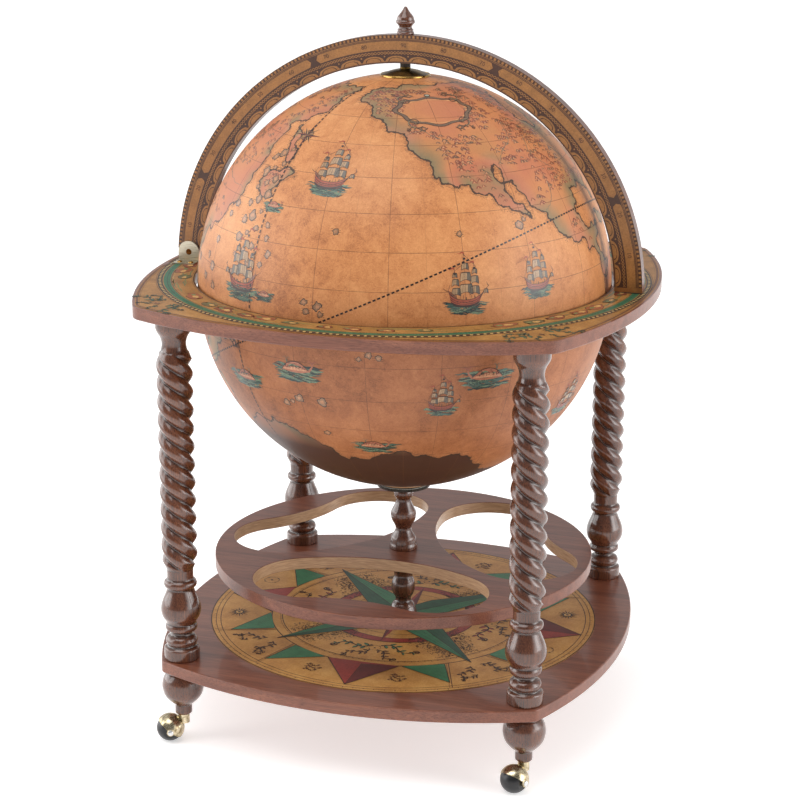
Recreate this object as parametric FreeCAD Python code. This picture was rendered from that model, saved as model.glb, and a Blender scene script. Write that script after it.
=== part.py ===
import FreeCAD, Part
import math
import os
from FreeCAD import Vector

# A bar globe on a four-legged stand: the lower half of the globe turns on a central column,
# the upper half hangs from a half meridian that is hinged to the horizon board.
# Millimetres, +Z up. Origin: on the floor, on the globe's axis. The hinge is at -X, the front is -Y.

# globe
globe_radius = 300.0
bowl_wall = 6.0
lid_wall = 5.0
seam_gap = 1.0
equator_below_board = 7.8
rim_width = 9.0
rim_height = 12.0

# boards
board_thickness = 18.0
board_edge_round = 2.0
print_thickness = 0.4
print_border = 4.0
horizon_gap = 3.8
horizon_margin = 63.2
horizon_corner_reach = 59.0
horizon_corner_round = 30.0
shelf_setback = 28.5
shelf_corner_reach = 32.0
shelf_corner_round = 12.0
shelf_print_inset = 43.7
middle_shelf_height = 90.0
middle_shelf_inset = 52.5

# bottle slots of the middle shelf: two round ends joined by two arcs
slot_rim = 15.7
slot_spoke = 26.8
slot_end_radius = 79.0
slot_inner_bulge = 25.1
slot_outer_dip = 15.6

# turned legs, feet and columns
leg_inset = 57.4
leg_radius = 25.7
strand_offset = 9.6
strand_pitch = 79.5
foot_height = 68.4
foot_radius = 30.4
foot_neck_radius = 12.5
column_radius = 21.1
column_upper_height = 100.6
twist_starts_at = 139.0
twist_ends_below_top = 53.0
twist_run_in = 14.0
foot_drawn_height = 68.4
column_lower_drawn_height = 90.0
column_upper_drawn_height = 100.6

# fasteners
dowel_radius = 4.0
dowel_grip = 30.0
board_dowel_share = 0.6
tie_rod_radius = 5.0
tie_nut_across = 17.0
tie_nut_height = 5.0
tie_flange_radius = 11.0
tie_flange_height = 1.5
screw_radius = 2.0
screw_depth = 12.0

# casters
wheel_radius = 19.5
wheel_half_width = 16.5
trail_beyond_wheel = 1.0
caster_angles = {"front_left": -155.0, "front_right": -115.0, "back_right": -95.0, "back_left": -140.0}
hood_gap = 0.5
hood_wall = 1.2
hood_tilt = 40.0
hood_headroom = 2.3
axle_radius = 2.0
axle_cap_radius = 4.0
axle_ear_wall = 3.5
stem_radius = 4.0
stem_length = 28.0
collar_radius = 8.4
collar_length = 13.7
socket_wall = 2.0
socket_flange_radius = 9.5
socket_flange = 1.5

# column top and turntable
turntable_radius = 40.0
turntable_plate = 3.5
turntable_bore = 14.0
thrust_washer = 1.5
bowl_boss_radius = 45.0
bowl_boss_rise = 3.5
floor_plate_rise = 7.0
bowl_screw_circle = 30.0

# bar tray and bottle rack
tray_drop = 40.0
tray_thickness = 10.0
tray_margin = 35.2
bottle_hole_radius = 46.0
bottle_count = 4
glass_hole_radius = 38.0
glass_count = 8
hole_web = 12.0
rack_drop = 123.0
rack_thickness = 12.0
rack_recess = 4.0
post_radius = 7.0
post_inset = 47.0

# meridian, hinge and polar bearing
meridian_gap = 12.0
meridian_width = 40.0
meridian_thickness = 18.0
meridian_rise = 4.0
pin_radius = 4.5
pin_height = 14.5
pin_off_middle = 1.5
tongue_clearance = 1.0
heel_rise = 11.0
ear_thickness = 2.5
ear_half_width = 16.5
flange_length = 26.0
flange_thickness = 2.0
rest_pad_thickness = 1.0
spindle_radius = 5.0
spindle_collar_radius = 7.5
spindle_top = 17.0
spindle_nut_across = 16.0
spindle_nut_height = 7.0
spindle_washer_radius = 14.0
spindle_washer_height = 2.0
lid_bore_radius = 9.0
bush_flange_radius = 16.0
bush_flange = 4.0
polar_cap_radius = 36.0
polar_cap_rise = 10.2
finial_radius = 13.7

# clearances
running = 0.06
seat = 0.05
shell_seat = 0.2
tray_clearance = 1.5
apart = 0.3

# levels, from the floor up
hood_radius = wheel_radius + hood_gap + hood_wall
foot_lift = wheel_radius + hood_radius + hood_headroom
shelf_bottom = foot_lift + foot_height
shelf_top = shelf_bottom + board_thickness
middle_bottom = shelf_top + middle_shelf_height
middle_top = middle_bottom + board_thickness
column_top = middle_top + column_upper_height
boss_bottom = column_top + 2 * turntable_plate + thrust_washer
globe_bottom = boss_bottom + bowl_boss_rise
globe_z = globe_bottom + globe_radius
horizon_top = globe_z + equator_below_board
horizon_bottom = horizon_top - board_thickness
leg_height = horizon_bottom - shelf_top
rim_bottom = globe_z - seam_gap / 2 - rim_height
tray_top = globe_z - tray_drop
tray_bottom = tray_top - tray_thickness
rack_top = tray_bottom - rack_drop
rack_bottom = rack_top - rack_thickness
meridian_z = globe_z + meridian_rise
pin_z = horizon_top + pin_height
board_dowel_depth = board_thickness * board_dowel_share

# distances from the axis
bowl_inside = globe_radius - bowl_wall
lid_inside = globe_radius - lid_wall
opening_radius = globe_radius + horizon_gap
horizon_side = opening_radius + horizon_margin
leg_circle = opening_radius + leg_inset
leg_offset = leg_circle / math.sqrt(2)
shelf_side = horizon_side - shelf_setback
shelf_print_radius = leg_circle - leg_radius - shelf_print_inset
middle_shelf_radius = leg_circle - leg_radius - middle_shelf_inset
bush_flange_top = globe_z + math.sqrt(lid_inside ** 2 - bush_flange_radius ** 2) - seat
spindle_nut_top = bush_flange_top - bush_flange - apart - spindle_washer_height
tray_radius = math.sqrt(bowl_inside ** 2 - (globe_z - tray_bottom) ** 2) - tray_clearance
rack_radius = math.sqrt(bowl_inside ** 2 - (globe_z - rack_bottom) ** 2) - tray_clearance
glass_circle = tray_radius - tray_margin - glass_hole_radius
bottle_circle = glass_circle - glass_hole_radius - hole_web - bottle_hole_radius
post_circle = rack_radius - post_inset
meridian_inner = globe_radius + meridian_gap
meridian_outer = meridian_inner + meridian_width
pin_x = -(meridian_inner + meridian_width / 2 + pin_off_middle)
caster_trail = wheel_radius + trail_beyond_wheel
corners = {
    "front_left": (-leg_offset, -leg_offset),
    "front_right": (leg_offset, -leg_offset),
    "back_right": (leg_offset, leg_offset),
    "back_left": (-leg_offset, leg_offset),
}


def cylinder(radius, low, high, x=0.0, y=0.0):
    return Part.makeCylinder(radius, high - low, Vector(x, y, low))


def tube(outer, inner, low, high, x=0.0, y=0.0):
    return cylinder(outer, low, high, x, y).cut(cylinder(inner, low - 1, high + 1, x, y))


def ball(radius):
    return Part.makeSphere(radius, Vector(0, 0, globe_z))


def box_between(low, high):
    return Part.makeBox(high[0] - low[0], high[1] - low[1], high[2] - low[2], Vector(*low))


def slab(low, high, reach=2000.0):
    return box_between((-reach, -reach, low), (reach, reach, high))


def moved(shape, x, y, z, turn=0.0):
    copy = shape.copy()
    copy.rotate(Vector(0, 0, 0), Vector(0, 0, 1), turn)
    copy.translate(Vector(x, y, z))
    return copy


def turned(outline):
    """Turns an outline about Z. Each step is (radius, height) for a straight run, or
    (middle radius, middle height, radius, height) for an arc; the ends close on the axis."""
    place = Vector(0, 0, outline[0][1])
    first = place
    edges = []
    for step in outline:
        target = Vector(step[-2], 0, step[-1])
        if len(step) == 4:
            edges.append(Part.Arc(place, Vector(step[0], 0, step[1]), target).toShape())
        elif target.distanceToPoint(place) > 1e-6:
            edges.append(Part.makeLine(place, target))
        place = target
    top = Vector(0, 0, place.z)
    if top.distanceToPoint(place) > 1e-6:
        edges.append(Part.makeLine(place, top))
    edges.append(Part.makeLine(top, first))
    face = Part.Face(Part.Wire(edges))
    return face.revolve(Vector(0, 0, 0), Vector(0, 0, 1), 360)


def round_rims(shape, levels, radius):
    """Rounds the edges that lie flat at the given heights."""
    edges = [edge for edge in shape.Edges
             if any(abs(edge.BoundBox.ZMin - z) < 1e-4 and abs(edge.BoundBox.ZMax - z) < 1e-4 for z in levels)]
    return shape.makeFillet(radius, edges)


def stretched(outline, factor):
    """An outline with its heights multiplied, and its radii kept."""
    return [tuple(value * factor if index % 2 else value for index, value in enumerate(step))
            for step in outline]


def bulged_square(side, corner, corner_round, low, high):
    """A square board whose sides are arcs through side and corner distances, with rounded corners."""
    reach = corner / math.sqrt(2)
    side_radius = ((side - reach) ** 2 + reach ** 2) / (2 * (side - reach))
    centre = side_radius - side
    board = slab(low, high, side + 100)
    for x, y in ((centre, 0), (-centre, 0), (0, centre), (0, -centre)):
        board = board.common(cylinder(side_radius, low, high, x, y))
    upright = [edge for edge in board.Edges if edge.BoundBox.ZLength > (high - low) / 2]
    return board.makeFillet(corner_round, upright)


def at_corners(shape, z):
    return Part.makeCompound([moved(shape, x, y, z) for x, y in corners.values()])


# boards

def horizon_board():
    top = horizon_top - print_thickness
    corner = leg_circle + horizon_corner_reach
    board = bulged_square(horizon_side, corner, horizon_corner_round, horizon_bottom, top)
    board = board.cut(cylinder(opening_radius, horizon_bottom - 1, top + 1))
    board = round_rims(board, [horizon_bottom], board_edge_round)
    board = board.cut(at_corners(cylinder(dowel_radius + seat, -1, board_dowel_depth), horizon_bottom))
    return board.cut(screw_pockets())


def horizon_print():
    low = horizon_top - print_thickness
    corner = leg_circle + horizon_corner_reach - print_border
    sheet = bulged_square(horizon_side - print_border, corner, horizon_corner_round, low, horizon_top)
    return sheet.cut(cylinder(opening_radius, low - 1, horizon_top + 1)).cut(screw_pockets())


def bottom_shelf():
    corner = leg_circle + shelf_corner_reach
    board = bulged_square(shelf_side, corner, shelf_corner_round, shelf_bottom, shelf_top)
    board = round_rims(board, [shelf_bottom, shelf_top], board_edge_round)
    board = board.cut(at_corners(cylinder(dowel_radius + seat, -1, board_thickness + 1), shelf_bottom))
    return board.cut(cylinder(tie_rod_radius + seat, shelf_bottom - 1, shelf_top + 1))


def shelf_print():
    return tube(shelf_print_radius, column_radius + seat, shelf_top, shelf_top + print_thickness)


def bottle_slot(low, high):
    """One kidney-shaped slot, with its middle towards +X: v runs outwards and u sideways."""
    end_distance = middle_shelf_radius - slot_rim - slot_end_radius
    end_angle = math.pi / 3 - math.asin((slot_spoke / 2 + slot_end_radius) / end_distance)
    u = end_distance * math.sin(end_angle)
    v = end_distance * math.cos(end_angle)
    near = v - slot_end_radius - slot_inner_bulge
    far = v + slot_end_radius - slot_outer_dip
    inner_v = v + (u * u - slot_inner_bulge ** 2) / (2 * slot_inner_bulge)
    outer_v = v + (u * u - slot_outer_dip ** 2) / (2 * slot_outer_dip)
    inner_aim = math.atan2(u, v - inner_v)
    outer_aim = math.atan2(-u, outer_v - v)

    def end_point(side, aim):
        return Vector(v + slot_end_radius * math.cos(aim), side * (u + slot_end_radius * math.sin(aim)), low)

    far_aim = (inner_aim + outer_aim) / 2
    edges = [Part.Arc(end_point(1, inner_aim), end_point(1, far_aim), end_point(1, outer_aim)).toShape()]
    edges.append(Part.Arc(end_point(1, outer_aim), Vector(far, 0, low),
                          end_point(-1, outer_aim)).toShape())
    edges.append(Part.Arc(end_point(-1, outer_aim), end_point(-1, far_aim), end_point(-1, inner_aim)).toShape())
    edges.append(Part.Arc(end_point(-1, inner_aim), Vector(near, 0, low),
                          end_point(1, inner_aim)).toShape())
    return Part.Face(Part.Wire(edges)).extrude(Vector(0, 0, high - low))


def middle_shelf():
    board = tube(middle_shelf_radius, tie_rod_radius + seat, middle_bottom, middle_top)
    for turn in (-90, 30, 150):
        slot = bottle_slot(middle_bottom - 1, middle_top + 1)
        board = board.cut(moved(slot, 0, 0, 0, turn))
    rims = [edge for edge in board.Edges
            if edge.BoundBox.ZLength < 1e-4 and edge.BoundBox.DiagonalLength > 4 * tie_rod_radius]
    return board.makeFillet(board_edge_round / 2, rims)


# turned wood

def strands(low, high):
    """Three round strands wound left-handed about Z, as one solid."""
    crest = leg_radius - 0.1
    strand_radius = crest - strand_offset
    side_reach = strand_offset * math.sin(math.pi / 3)
    groove = strand_offset / 2 + math.sqrt(strand_radius ** 2 - side_reach ** 2)
    edges = []
    for index in range(3):
        middle = 2 * math.pi * index / 3
        reach = [(groove, middle - math.pi / 3),
                 (crest, middle),
                 (groove, middle + math.pi / 3)]
        points = [Vector(r * math.cos(a), r * math.sin(a), low) for r, a in reach]
        edges.append(Part.Arc(*points).toShape())
    spine = Part.Wire([Part.makeLine(Vector(0, 0, low), Vector(0, 0, high))])
    guide = Part.makeHelix(strand_pitch, high - low, 2 * leg_radius, 0, True)
    guide.translate(Vector(0, 0, low))
    sweep = Part.BRepOffsetAPI.MakePipeShell(spine)
    sweep.setAuxiliarySpine(Part.Wire(guide.Edges), True, 0)
    sweep.add(Part.Wire(edges))
    sweep.build()
    sweep.makeSolid()
    return Part.Solid(sweep.shape())


def leg():
    top = leg_height
    r = leg_radius
    twist_low = twist_starts_at
    twist_high = top - twist_ends_below_top
    lower = turned([
        (r, 0), (r, 15.5), (r - 1.5, 18), (r - 5.1, 20.5),
        (r - 2.5, 28, r - 6.1, 34.2), (r - 10.1, 37.5), (r - 10.3, 41.5), (r - 5.9, 43.8),
        (r - 3.5, 45.2), (r - 2.5, 49.2, r - 3.5, 53.2), (r - 4.3, 54.6),
        (r + 3.4, 72.6, r - 4.9, 97), (r - 4.9, 108), (r - 4.9, 109.5),
        (r - 2, 115.3, r - 5.3, 121.4), (r - 6.4, 124), (r - 6.2, 141), (r - 7.4, 150)])
    upper = turned([
        (r - 7.4, top - 62), (r - 5.6, top - 55), (r - 8.6, top - 39.5, r - 0.8, top - 21.8),
        (r - 0.1, top - 13.8), (r, top)])
    envelope = turned([
        (r - 6.2, twist_low + 1), (r + 0.1, twist_low + twist_run_in),
        (r + 0.1, twist_high - twist_run_in), (r - 5.2, twist_high - 1)])
    shaft = strands(twist_low, twist_high).common(envelope)
    whole = lower.fuse([shaft, upper])
    lower_hole = cylinder(dowel_radius + seat, -1, dowel_grip)
    upper_hole = cylinder(dowel_radius + seat, top - dowel_grip, top + 1)
    return whole.cut([lower_hole, upper_hole])


def foot():
    r = foot_radius
    neck = foot_neck_radius
    outline = [
        (neck, 0), (neck, 13), (neck + 0.7, 14.2), (r - 4.4, 28, r, 45), (r - 1.5, 55, r - 7.4, 63),
        (r - 8.4, 65), (r - 8.4, foot_drawn_height)]
    body = turned(stretched(outline, foot_height / foot_drawn_height))
    socket = cylinder(stem_radius + running + socket_wall + seat, -1, stem_length + 4)
    dowel = cylinder(dowel_radius + seat, foot_height - dowel_grip / 2, foot_height + 1)
    return body.cut([socket, dowel])


def column_lower():
    r = column_radius
    outline = [
        (r, 0), (r, 5), (r - 4.4, 19), (r - 9.2, 24), (r - 9.2, 28), (r - 5.5, 35.4),
        (r - 3.0, 46, r - 5.8, 59.6), (r - 6.9, 64), (r - 6.9, 69), (r - 2.4, 78, r, 85),
        (r, column_lower_drawn_height)]
    body = turned(stretched(outline, middle_shelf_height / column_lower_drawn_height))
    return body.cut(cylinder(tie_rod_radius + seat, -1, middle_shelf_height + 1))


def column_upper():
    r = column_radius
    outline = [
        (r, 0), (r, 5), (r - 1.5, 11.4), (r - 2.6, 17.8), (r - 8.3, 27.4), (r - 9.1, 33.7),
        (r - 4.2, 43.3), (r - 1.7, 52.9, r - 4.6, 62.4), (r - 8.3, 70.4), (r - 9.9, 78.4),
        (r - 7.6, 83), (r - 6.6, 88.5, r - 8.5, 93.5), (r - 9.4, 95.5), (r - 5, 98.6),
        (r - 5, column_upper_drawn_height)]
    body = turned(stretched(outline, column_upper_height / column_upper_drawn_height))
    return body.cut(cylinder(tie_rod_radius + seat, -1, column_upper_height + 1))


def finial():
    r = finial_radius
    body = turned([
        (r - 1.7, 0), (r - 1.4, 1.8, r - 2.2, 3.8), (r - 2.0, 5.3, r - 3.4, 6.9), (r - 4.6, 9.9),
        (r - 3.1, 12.7), (r - 0.4, 15.6), (r, 17.0, r - 1.2, 19.4), (r - 1.7, 20.4),
        (r - 2.3, 23.6, r - 4.6, 27.2), (r - 7.9, 31.2), (2.6, 36.6), (1.9, 38, 0.4, 38.5)])
    return body.cut(cylinder(spindle_radius + seat, -1, 18))


# fasteners of the stand


def dowel_screws():
    """Plain double-ended screws: foot, shelf and leg below, leg and horizon board above."""
    low = shelf_bottom - dowel_grip / 2 + 1
    lower = cylinder(dowel_radius, 0, shelf_top + dowel_grip - 1 - low)
    upper = cylinder(dowel_radius, 0, dowel_grip + board_dowel_depth - 2)
    return Part.makeCompound([at_corners(lower, low), at_corners(upper, horizon_bottom - dowel_grip + 1)])


def hexagon(across, low, high):
    radius = across / math.sqrt(3)
    points = [Vector(radius * math.cos(math.pi * k / 3), radius * math.sin(math.pi * k / 3), low)
              for k in range(7)]
    return Part.Face(Part.makePolygon(points)).extrude(Vector(0, 0, high - low))


def tie_rod():
    reach = tie_flange_height + tie_nut_height
    return cylinder(tie_rod_radius, shelf_bottom - reach - 2, column_top + turntable_plate + reach + 0.5)


def tie_rod_nuts():
    """Flange nuts under the bottom shelf and on the turntable's base."""
    low = shelf_bottom - tie_flange_height
    lower = cylinder(tie_flange_radius, low, shelf_bottom)
    lower = lower.fuse(hexagon(tie_nut_across, low - tie_nut_height, low))
    base = column_top + turntable_plate
    high = base + tie_flange_height
    upper = cylinder(tie_flange_radius, base, high).fuse(hexagon(tie_nut_across, high, high + tie_nut_height))
    bore = cylinder(tie_rod_radius + seat, 0, globe_z)
    return Part.makeCompound([lower.cut(bore), upper.cut(bore)])


# turntable and bowl

def turntable_base():
    return tube(turntable_radius, tie_rod_radius + seat, column_top, column_top + turntable_plate)


def turntable_washer():
    low = column_top + turntable_plate
    return tube(turntable_radius - 2, turntable_bore, low, low + thrust_washer)


def turntable_top():
    low = boss_bottom - turntable_plate + apart / 2
    plate = tube(turntable_radius, turntable_bore, low, boss_bottom)
    return plate.cut(at_bowl_screws(cylinder(screw_radius + seat, low - 1, boss_bottom + 1)))


def at_bowl_screws(shape):
    step = bowl_screw_circle / math.sqrt(2)
    return Part.makeCompound([moved(shape, x, y, 0) for x in (-step, step) for y in (-step, step)])


def bowl_boss():
    disc = tube(bowl_boss_radius, turntable_bore, boss_bottom, globe_z)
    disc = disc.cut(ball(globe_radius + shell_seat))
    return disc.cut(at_bowl_screws(cylinder(screw_radius + seat, boss_bottom - 1, globe_z)))


def bowl_floor_plate():
    top = globe_bottom + bowl_wall + floor_plate_rise
    disc = ball(bowl_inside - shell_seat).common(cylinder(bowl_boss_radius, globe_bottom, top))
    return disc.cut(at_bowl_screws(cylinder(screw_radius + seat, globe_bottom, top + 1)))


def bowl_screws():
    top = globe_bottom + bowl_wall + floor_plate_rise
    shank = cylinder(screw_radius, boss_bottom - turntable_plate + apart, top)
    head = Part.makeCone(2 * screw_radius, 1.6 * screw_radius, 2, Vector(0, 0, top))
    return at_bowl_screws(shank.fuse(head))


def bowl_shell():
    shell = ball(globe_radius).cut(ball(bowl_inside))
    shell = shell.common(slab(globe_bottom - 1, globe_z - seam_gap / 2))
    bore = cylinder(screw_radius + seat, globe_bottom - 1, globe_bottom + 2 * bowl_wall)
    return shell.cut(at_bowl_screws(bore))


def inner_ring(radius, low, high):
    """A ring that fits inside a shell of the given inner radius."""
    depth = max(abs(low - globe_z), abs(high - globe_z))
    bore = math.sqrt(radius ** 2 - depth ** 2) - rim_width
    return ball(radius - shell_seat).common(slab(low, high)).cut(cylinder(bore, low - 1, high + 1))


def bowl_rim():
    return inner_ring(bowl_inside, rim_bottom, globe_z - seam_gap / 2)


def tray_ledge():
    return inner_ring(bowl_inside, tray_bottom - rim_height, tray_bottom)


def ring_of(shape, circle, count, first=0.0):
    angles = [math.radians(first + 360.0 * k / count) for k in range(count)]
    return [moved(shape, circle * math.cos(angle), circle * math.sin(angle), 0) for angle in angles]


def post_holes(low, high):
    return ring_of(cylinder(post_radius * 0.5 + seat, low, high), post_circle, 4)


def bar_tray():
    plate = cylinder(tray_radius, tray_bottom, tray_top)
    bottle = cylinder(bottle_hole_radius, tray_bottom - 1, tray_top + 1)
    glass = cylinder(glass_hole_radius, tray_bottom - 1, tray_top + 1)
    plate = plate.cut(ring_of(bottle, bottle_circle, bottle_count, 45))
    plate = plate.cut(ring_of(glass, glass_circle, glass_count, 180.0 / glass_count))
    plate = plate.cut(post_holes(tray_bottom - 1, tray_bottom + tray_thickness / 2))
    return round_rims(plate, [tray_top], board_edge_round)


def bottle_rack():
    plate = cylinder(rack_radius, rack_bottom, rack_top)
    recess = cylinder(bottle_hole_radius, rack_top - rack_recess, rack_top + 1)
    plate = plate.cut(ring_of(recess, bottle_circle, bottle_count, 45))
    return plate.cut(post_holes(rack_top - rack_thickness / 2, rack_top + 1))


def rack_posts():
    span = rack_drop
    r = post_radius
    tenon = tray_thickness / 2 - 0.5
    post = turned([
        (r * 0.5, -tenon), (r * 0.5, 0), (r, 0), (r, 8), (r * 0.65, 13),
        (r * 0.85, span / 2, r * 0.65, span - 13),
        (r, span - 8), (r, span), (r * 0.5, span), (r * 0.5, span + tenon)])
    post.translate(Vector(0, 0, rack_top))
    return Part.makeCompound(ring_of(post, post_circle, 4))


# lid and polar bearing

def lid_shell():
    top = globe_z + globe_radius + 1
    shell = ball(globe_radius).cut(ball(lid_inside)).common(slab(globe_z + seam_gap / 2, top))
    return shell.cut(cylinder(lid_bore_radius, globe_z, top))


def lid_rim():
    low = globe_z + seam_gap / 2
    return inner_ring(lid_inside, low, low + rim_height)


def polar_bush():
    top = bush_flange_top
    flange = cylinder(bush_flange_radius, top - bush_flange, top)
    sleeve = cylinder(lid_bore_radius - seat, top - 1, globe_z + globe_radius - 1)
    bore = cylinder(spindle_radius + running, top - 2 * bush_flange, globe_z + globe_radius)
    return flange.fuse(sleeve).cut(bore).removeSplitter()


def polar_cap():
    edge_z = math.sqrt(globe_radius ** 2 - polar_cap_radius ** 2) - globe_radius
    hub = spindle_collar_radius
    body = turned([
        (polar_cap_radius, edge_z - 1), (polar_cap_radius, edge_z + 1.2),
        (polar_cap_radius - 1.4, edge_z + 2.2), (22, 4.6, hub + 2.5, 7.4), (hub, 8.2), (hub, polar_cap_rise)])
    body.translate(Vector(0, 0, globe_z + globe_radius))
    body = body.cut(ball(globe_radius + seat))
    low = globe_z + globe_radius - 5
    return body.cut(cylinder(spindle_radius + running, low, low + 2 * polar_cap_rise))


def polar_spindle():
    """The pin fixed in the meridian, with a collar under it."""
    collar_low = globe_z + globe_radius + polar_cap_rise + apart
    collar_high = meridian_z + math.sqrt(meridian_inner ** 2 - spindle_collar_radius ** 2) - seat
    low = spindle_nut_top - spindle_nut_height - 3
    pin = cylinder(spindle_radius, low, meridian_z + meridian_outer + spindle_top)
    return pin.fuse(cylinder(spindle_collar_radius, collar_low, collar_high)).removeSplitter()


def spindle_washer():
    return tube(spindle_washer_radius, spindle_radius + seat, spindle_nut_top,
                spindle_nut_top + spindle_washer_height)


def spindle_nut():
    low = spindle_nut_top - spindle_nut_height
    nut = hexagon(spindle_nut_across, low, spindle_nut_top)
    return nut.cut(cylinder(spindle_radius + seat, low - 1, spindle_nut_top + 1))


# meridian and hinge

def y_cylinder(radius, x, z, low, high):
    return Part.makeCylinder(radius, high - low, Vector(x, low, z), Vector(0, 1, 0))


def meridian_arc():
    half = meridian_thickness / 2
    foot_z = horizon_top + rest_pad_thickness + apart
    arc = y_cylinder(meridian_outer, 0, meridian_z, -half, half)
    arc = arc.cut(y_cylinder(meridian_inner, 0, meridian_z, -half - 1, half + 1))
    reach = meridian_outer + 50
    arc = arc.cut(box_between((0, -reach, 0), (reach, reach, foot_z)))
    # hinge end: a tongue rounded about the pin, with a heel cut back above it
    tongue = pin_height - tongue_clearance
    arc = arc.cut(box_between((-reach, -reach, 0), (0.1, reach, pin_z - tongue)))
    heel = box_between((-reach, -reach, 0), (pin_x, reach, pin_z + heel_rise))
    heel = heel.cut(y_cylinder(tongue, pin_x, pin_z, -reach, reach))
    slope = math.sqrt(meridian_outer ** 2 - (pin_z + heel_rise - meridian_z) ** 2)
    corner = [Vector(-slope - 5, -reach, pin_z + heel_rise + 0.5), Vector(pin_x - tongue, -reach, pin_z),
              Vector(pin_x, -reach, pin_z), Vector(pin_x, -reach, pin_z + heel_rise + 0.5)]
    keep = Part.Face(Part.makePolygon(corner + corner[:1])).extrude(Vector(0, 2 * reach, 0))
    arc = arc.cut(heel.cut(keep))
    arc = arc.cut(y_cylinder(pin_radius + running, pin_x, pin_z, -reach, reach))
    return arc.cut(cylinder(spindle_radius + seat, meridian_z, meridian_z + meridian_outer + 1))


def hinge_bracket(side):
    """An ear beside the meridian with a flange screwed to the board; side is -1 in front, 1 behind."""
    near = meridian_thickness / 2 + apart
    far = near + ear_thickness
    base = box_between((pin_x - ear_half_width, near, horizon_top), (pin_x + ear_half_width, far, pin_z))
    ear = base.fuse(y_cylinder(ear_half_width, pin_x, pin_z, near, far).common(
        box_between((pin_x - 50, 0, horizon_top), (pin_x + 50, 50, pin_z + 50))))
    flange = box_between((pin_x - ear_half_width, near, horizon_top),
                         (pin_x + ear_half_width, near + flange_length, horizon_top + flange_thickness))
    body = ear.fuse(flange).removeSplitter()
    body = body.cut(y_cylinder(pin_radius + seat, pin_x, pin_z, 0, 50))
    for x, y in hinge_screw_places():
        body = body.cut(cylinder(screw_radius + seat, horizon_top - 1, horizon_top + 5, x, y))
    return body if side > 0 else body.mirror(Vector(0, 0, 0), Vector(0, 1, 0))


def hinge_screw_places():
    y = meridian_thickness / 2 + apart + flange_length * 0.65
    return [(pin_x - ear_half_width * 0.55, y), (pin_x + ear_half_width * 0.55, y)]


def hinge_pin():
    end = meridian_thickness / 2 + apart + ear_thickness
    return y_cylinder(pin_radius, pin_x, pin_z, -end, end)


def hinge_screws():
    low = horizon_top + flange_thickness
    screw = turned([(screw_radius, -screw_depth), (screw_radius, 0), (2 * screw_radius, 0),
                    (1.5 * screw_radius, 1.3, 0.2, 1.9)])
    places = [(x, sign * y) for x, y in hinge_screw_places() for sign in (-1, 1)]
    return Part.makeCompound([moved(screw, x, y, low) for x, y in places])


def screw_pockets():
    places = [(x, sign * y) for x, y in hinge_screw_places() for sign in (-1, 1)]
    return [cylinder(screw_radius + seat, horizon_top - screw_depth, horizon_top + 1, x, y) for x, y in places]


def rest_pad():
    middle = meridian_inner + meridian_width / 2
    half = meridian_width / 2 - 1
    return box_between((middle - half, -meridian_thickness / 2, horizon_top),
                       (middle + half, meridian_thickness / 2, horizon_top + rest_pad_thickness))


# casters, made with the trail along +X from the stem and then turned

def sphere_at_wheel(radius):
    return Part.makeSphere(radius, Vector(caster_trail, 0, wheel_radius))


def wheel_slab(half):
    return box_between((-100, -half, -100), (100, half, 100))


def caster_wheel():
    wheel = sphere_at_wheel(wheel_radius).common(wheel_slab(wheel_half_width))
    return wheel.cut(y_cylinder(axle_radius + running, caster_trail, wheel_radius, -50, 50))


def caster_hood():
    inside = hood_radius - hood_wall
    inner_face = wheel_half_width + apart
    keep = Part.makeBox(100, 100, 50, Vector(-50, -50, 0))
    keep.rotate(Vector(0, 0, 0), Vector(0, 1, 0), -hood_tilt)
    keep.translate(Vector(caster_trail, 0, wheel_radius))
    hood = sphere_at_wheel(hood_radius).cut(sphere_at_wheel(inside)).common(keep)
    ears = y_cylinder(axle_radius + axle_ear_wall, caster_trail, wheel_radius, -hood_radius, hood_radius)
    ears = ears.cut(wheel_slab(inner_face)).common(sphere_at_wheel(hood_radius))
    collar_top = foot_lift - socket_flange - apart
    collar = cylinder(collar_radius, collar_top - collar_length, collar_top).cut(sphere_at_wheel(inside))
    stem = cylinder(stem_radius, collar_top - 1, foot_lift + stem_length)
    body = hood.fuse([ears, collar, stem]).removeSplitter()
    return body.cut(y_cylinder(axle_radius + seat, caster_trail, wheel_radius, -50, 50))


def caster_axle():
    end = hood_radius
    pin = y_cylinder(axle_radius, caster_trail, wheel_radius, -end, end)
    cap = turned([(axle_cap_radius, 0), (axle_cap_radius, 0.8), (axle_cap_radius * 0.7, 1.7, 0.2, 2)])
    near_cap = cap.copy()
    near_cap.rotate(Vector(0, 0, 0), Vector(1, 0, 0), 90)
    near_cap.translate(Vector(caster_trail, -end, wheel_radius))
    far_cap = cap.copy()
    far_cap.rotate(Vector(0, 0, 0), Vector(1, 0, 0), -90)
    far_cap.translate(Vector(caster_trail, end, wheel_radius))
    return pin.fuse([near_cap, far_cap]).removeSplitter()


def caster_socket():
    bore = stem_radius + running
    sleeve = bore + socket_wall
    body = cylinder(socket_flange_radius, foot_lift - socket_flange, foot_lift)
    body = body.fuse(cylinder(sleeve, foot_lift - 1, foot_lift + stem_length + 3)).removeSplitter()
    return body.cut(cylinder(bore, 0, foot_lift + stem_length + 1))


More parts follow.
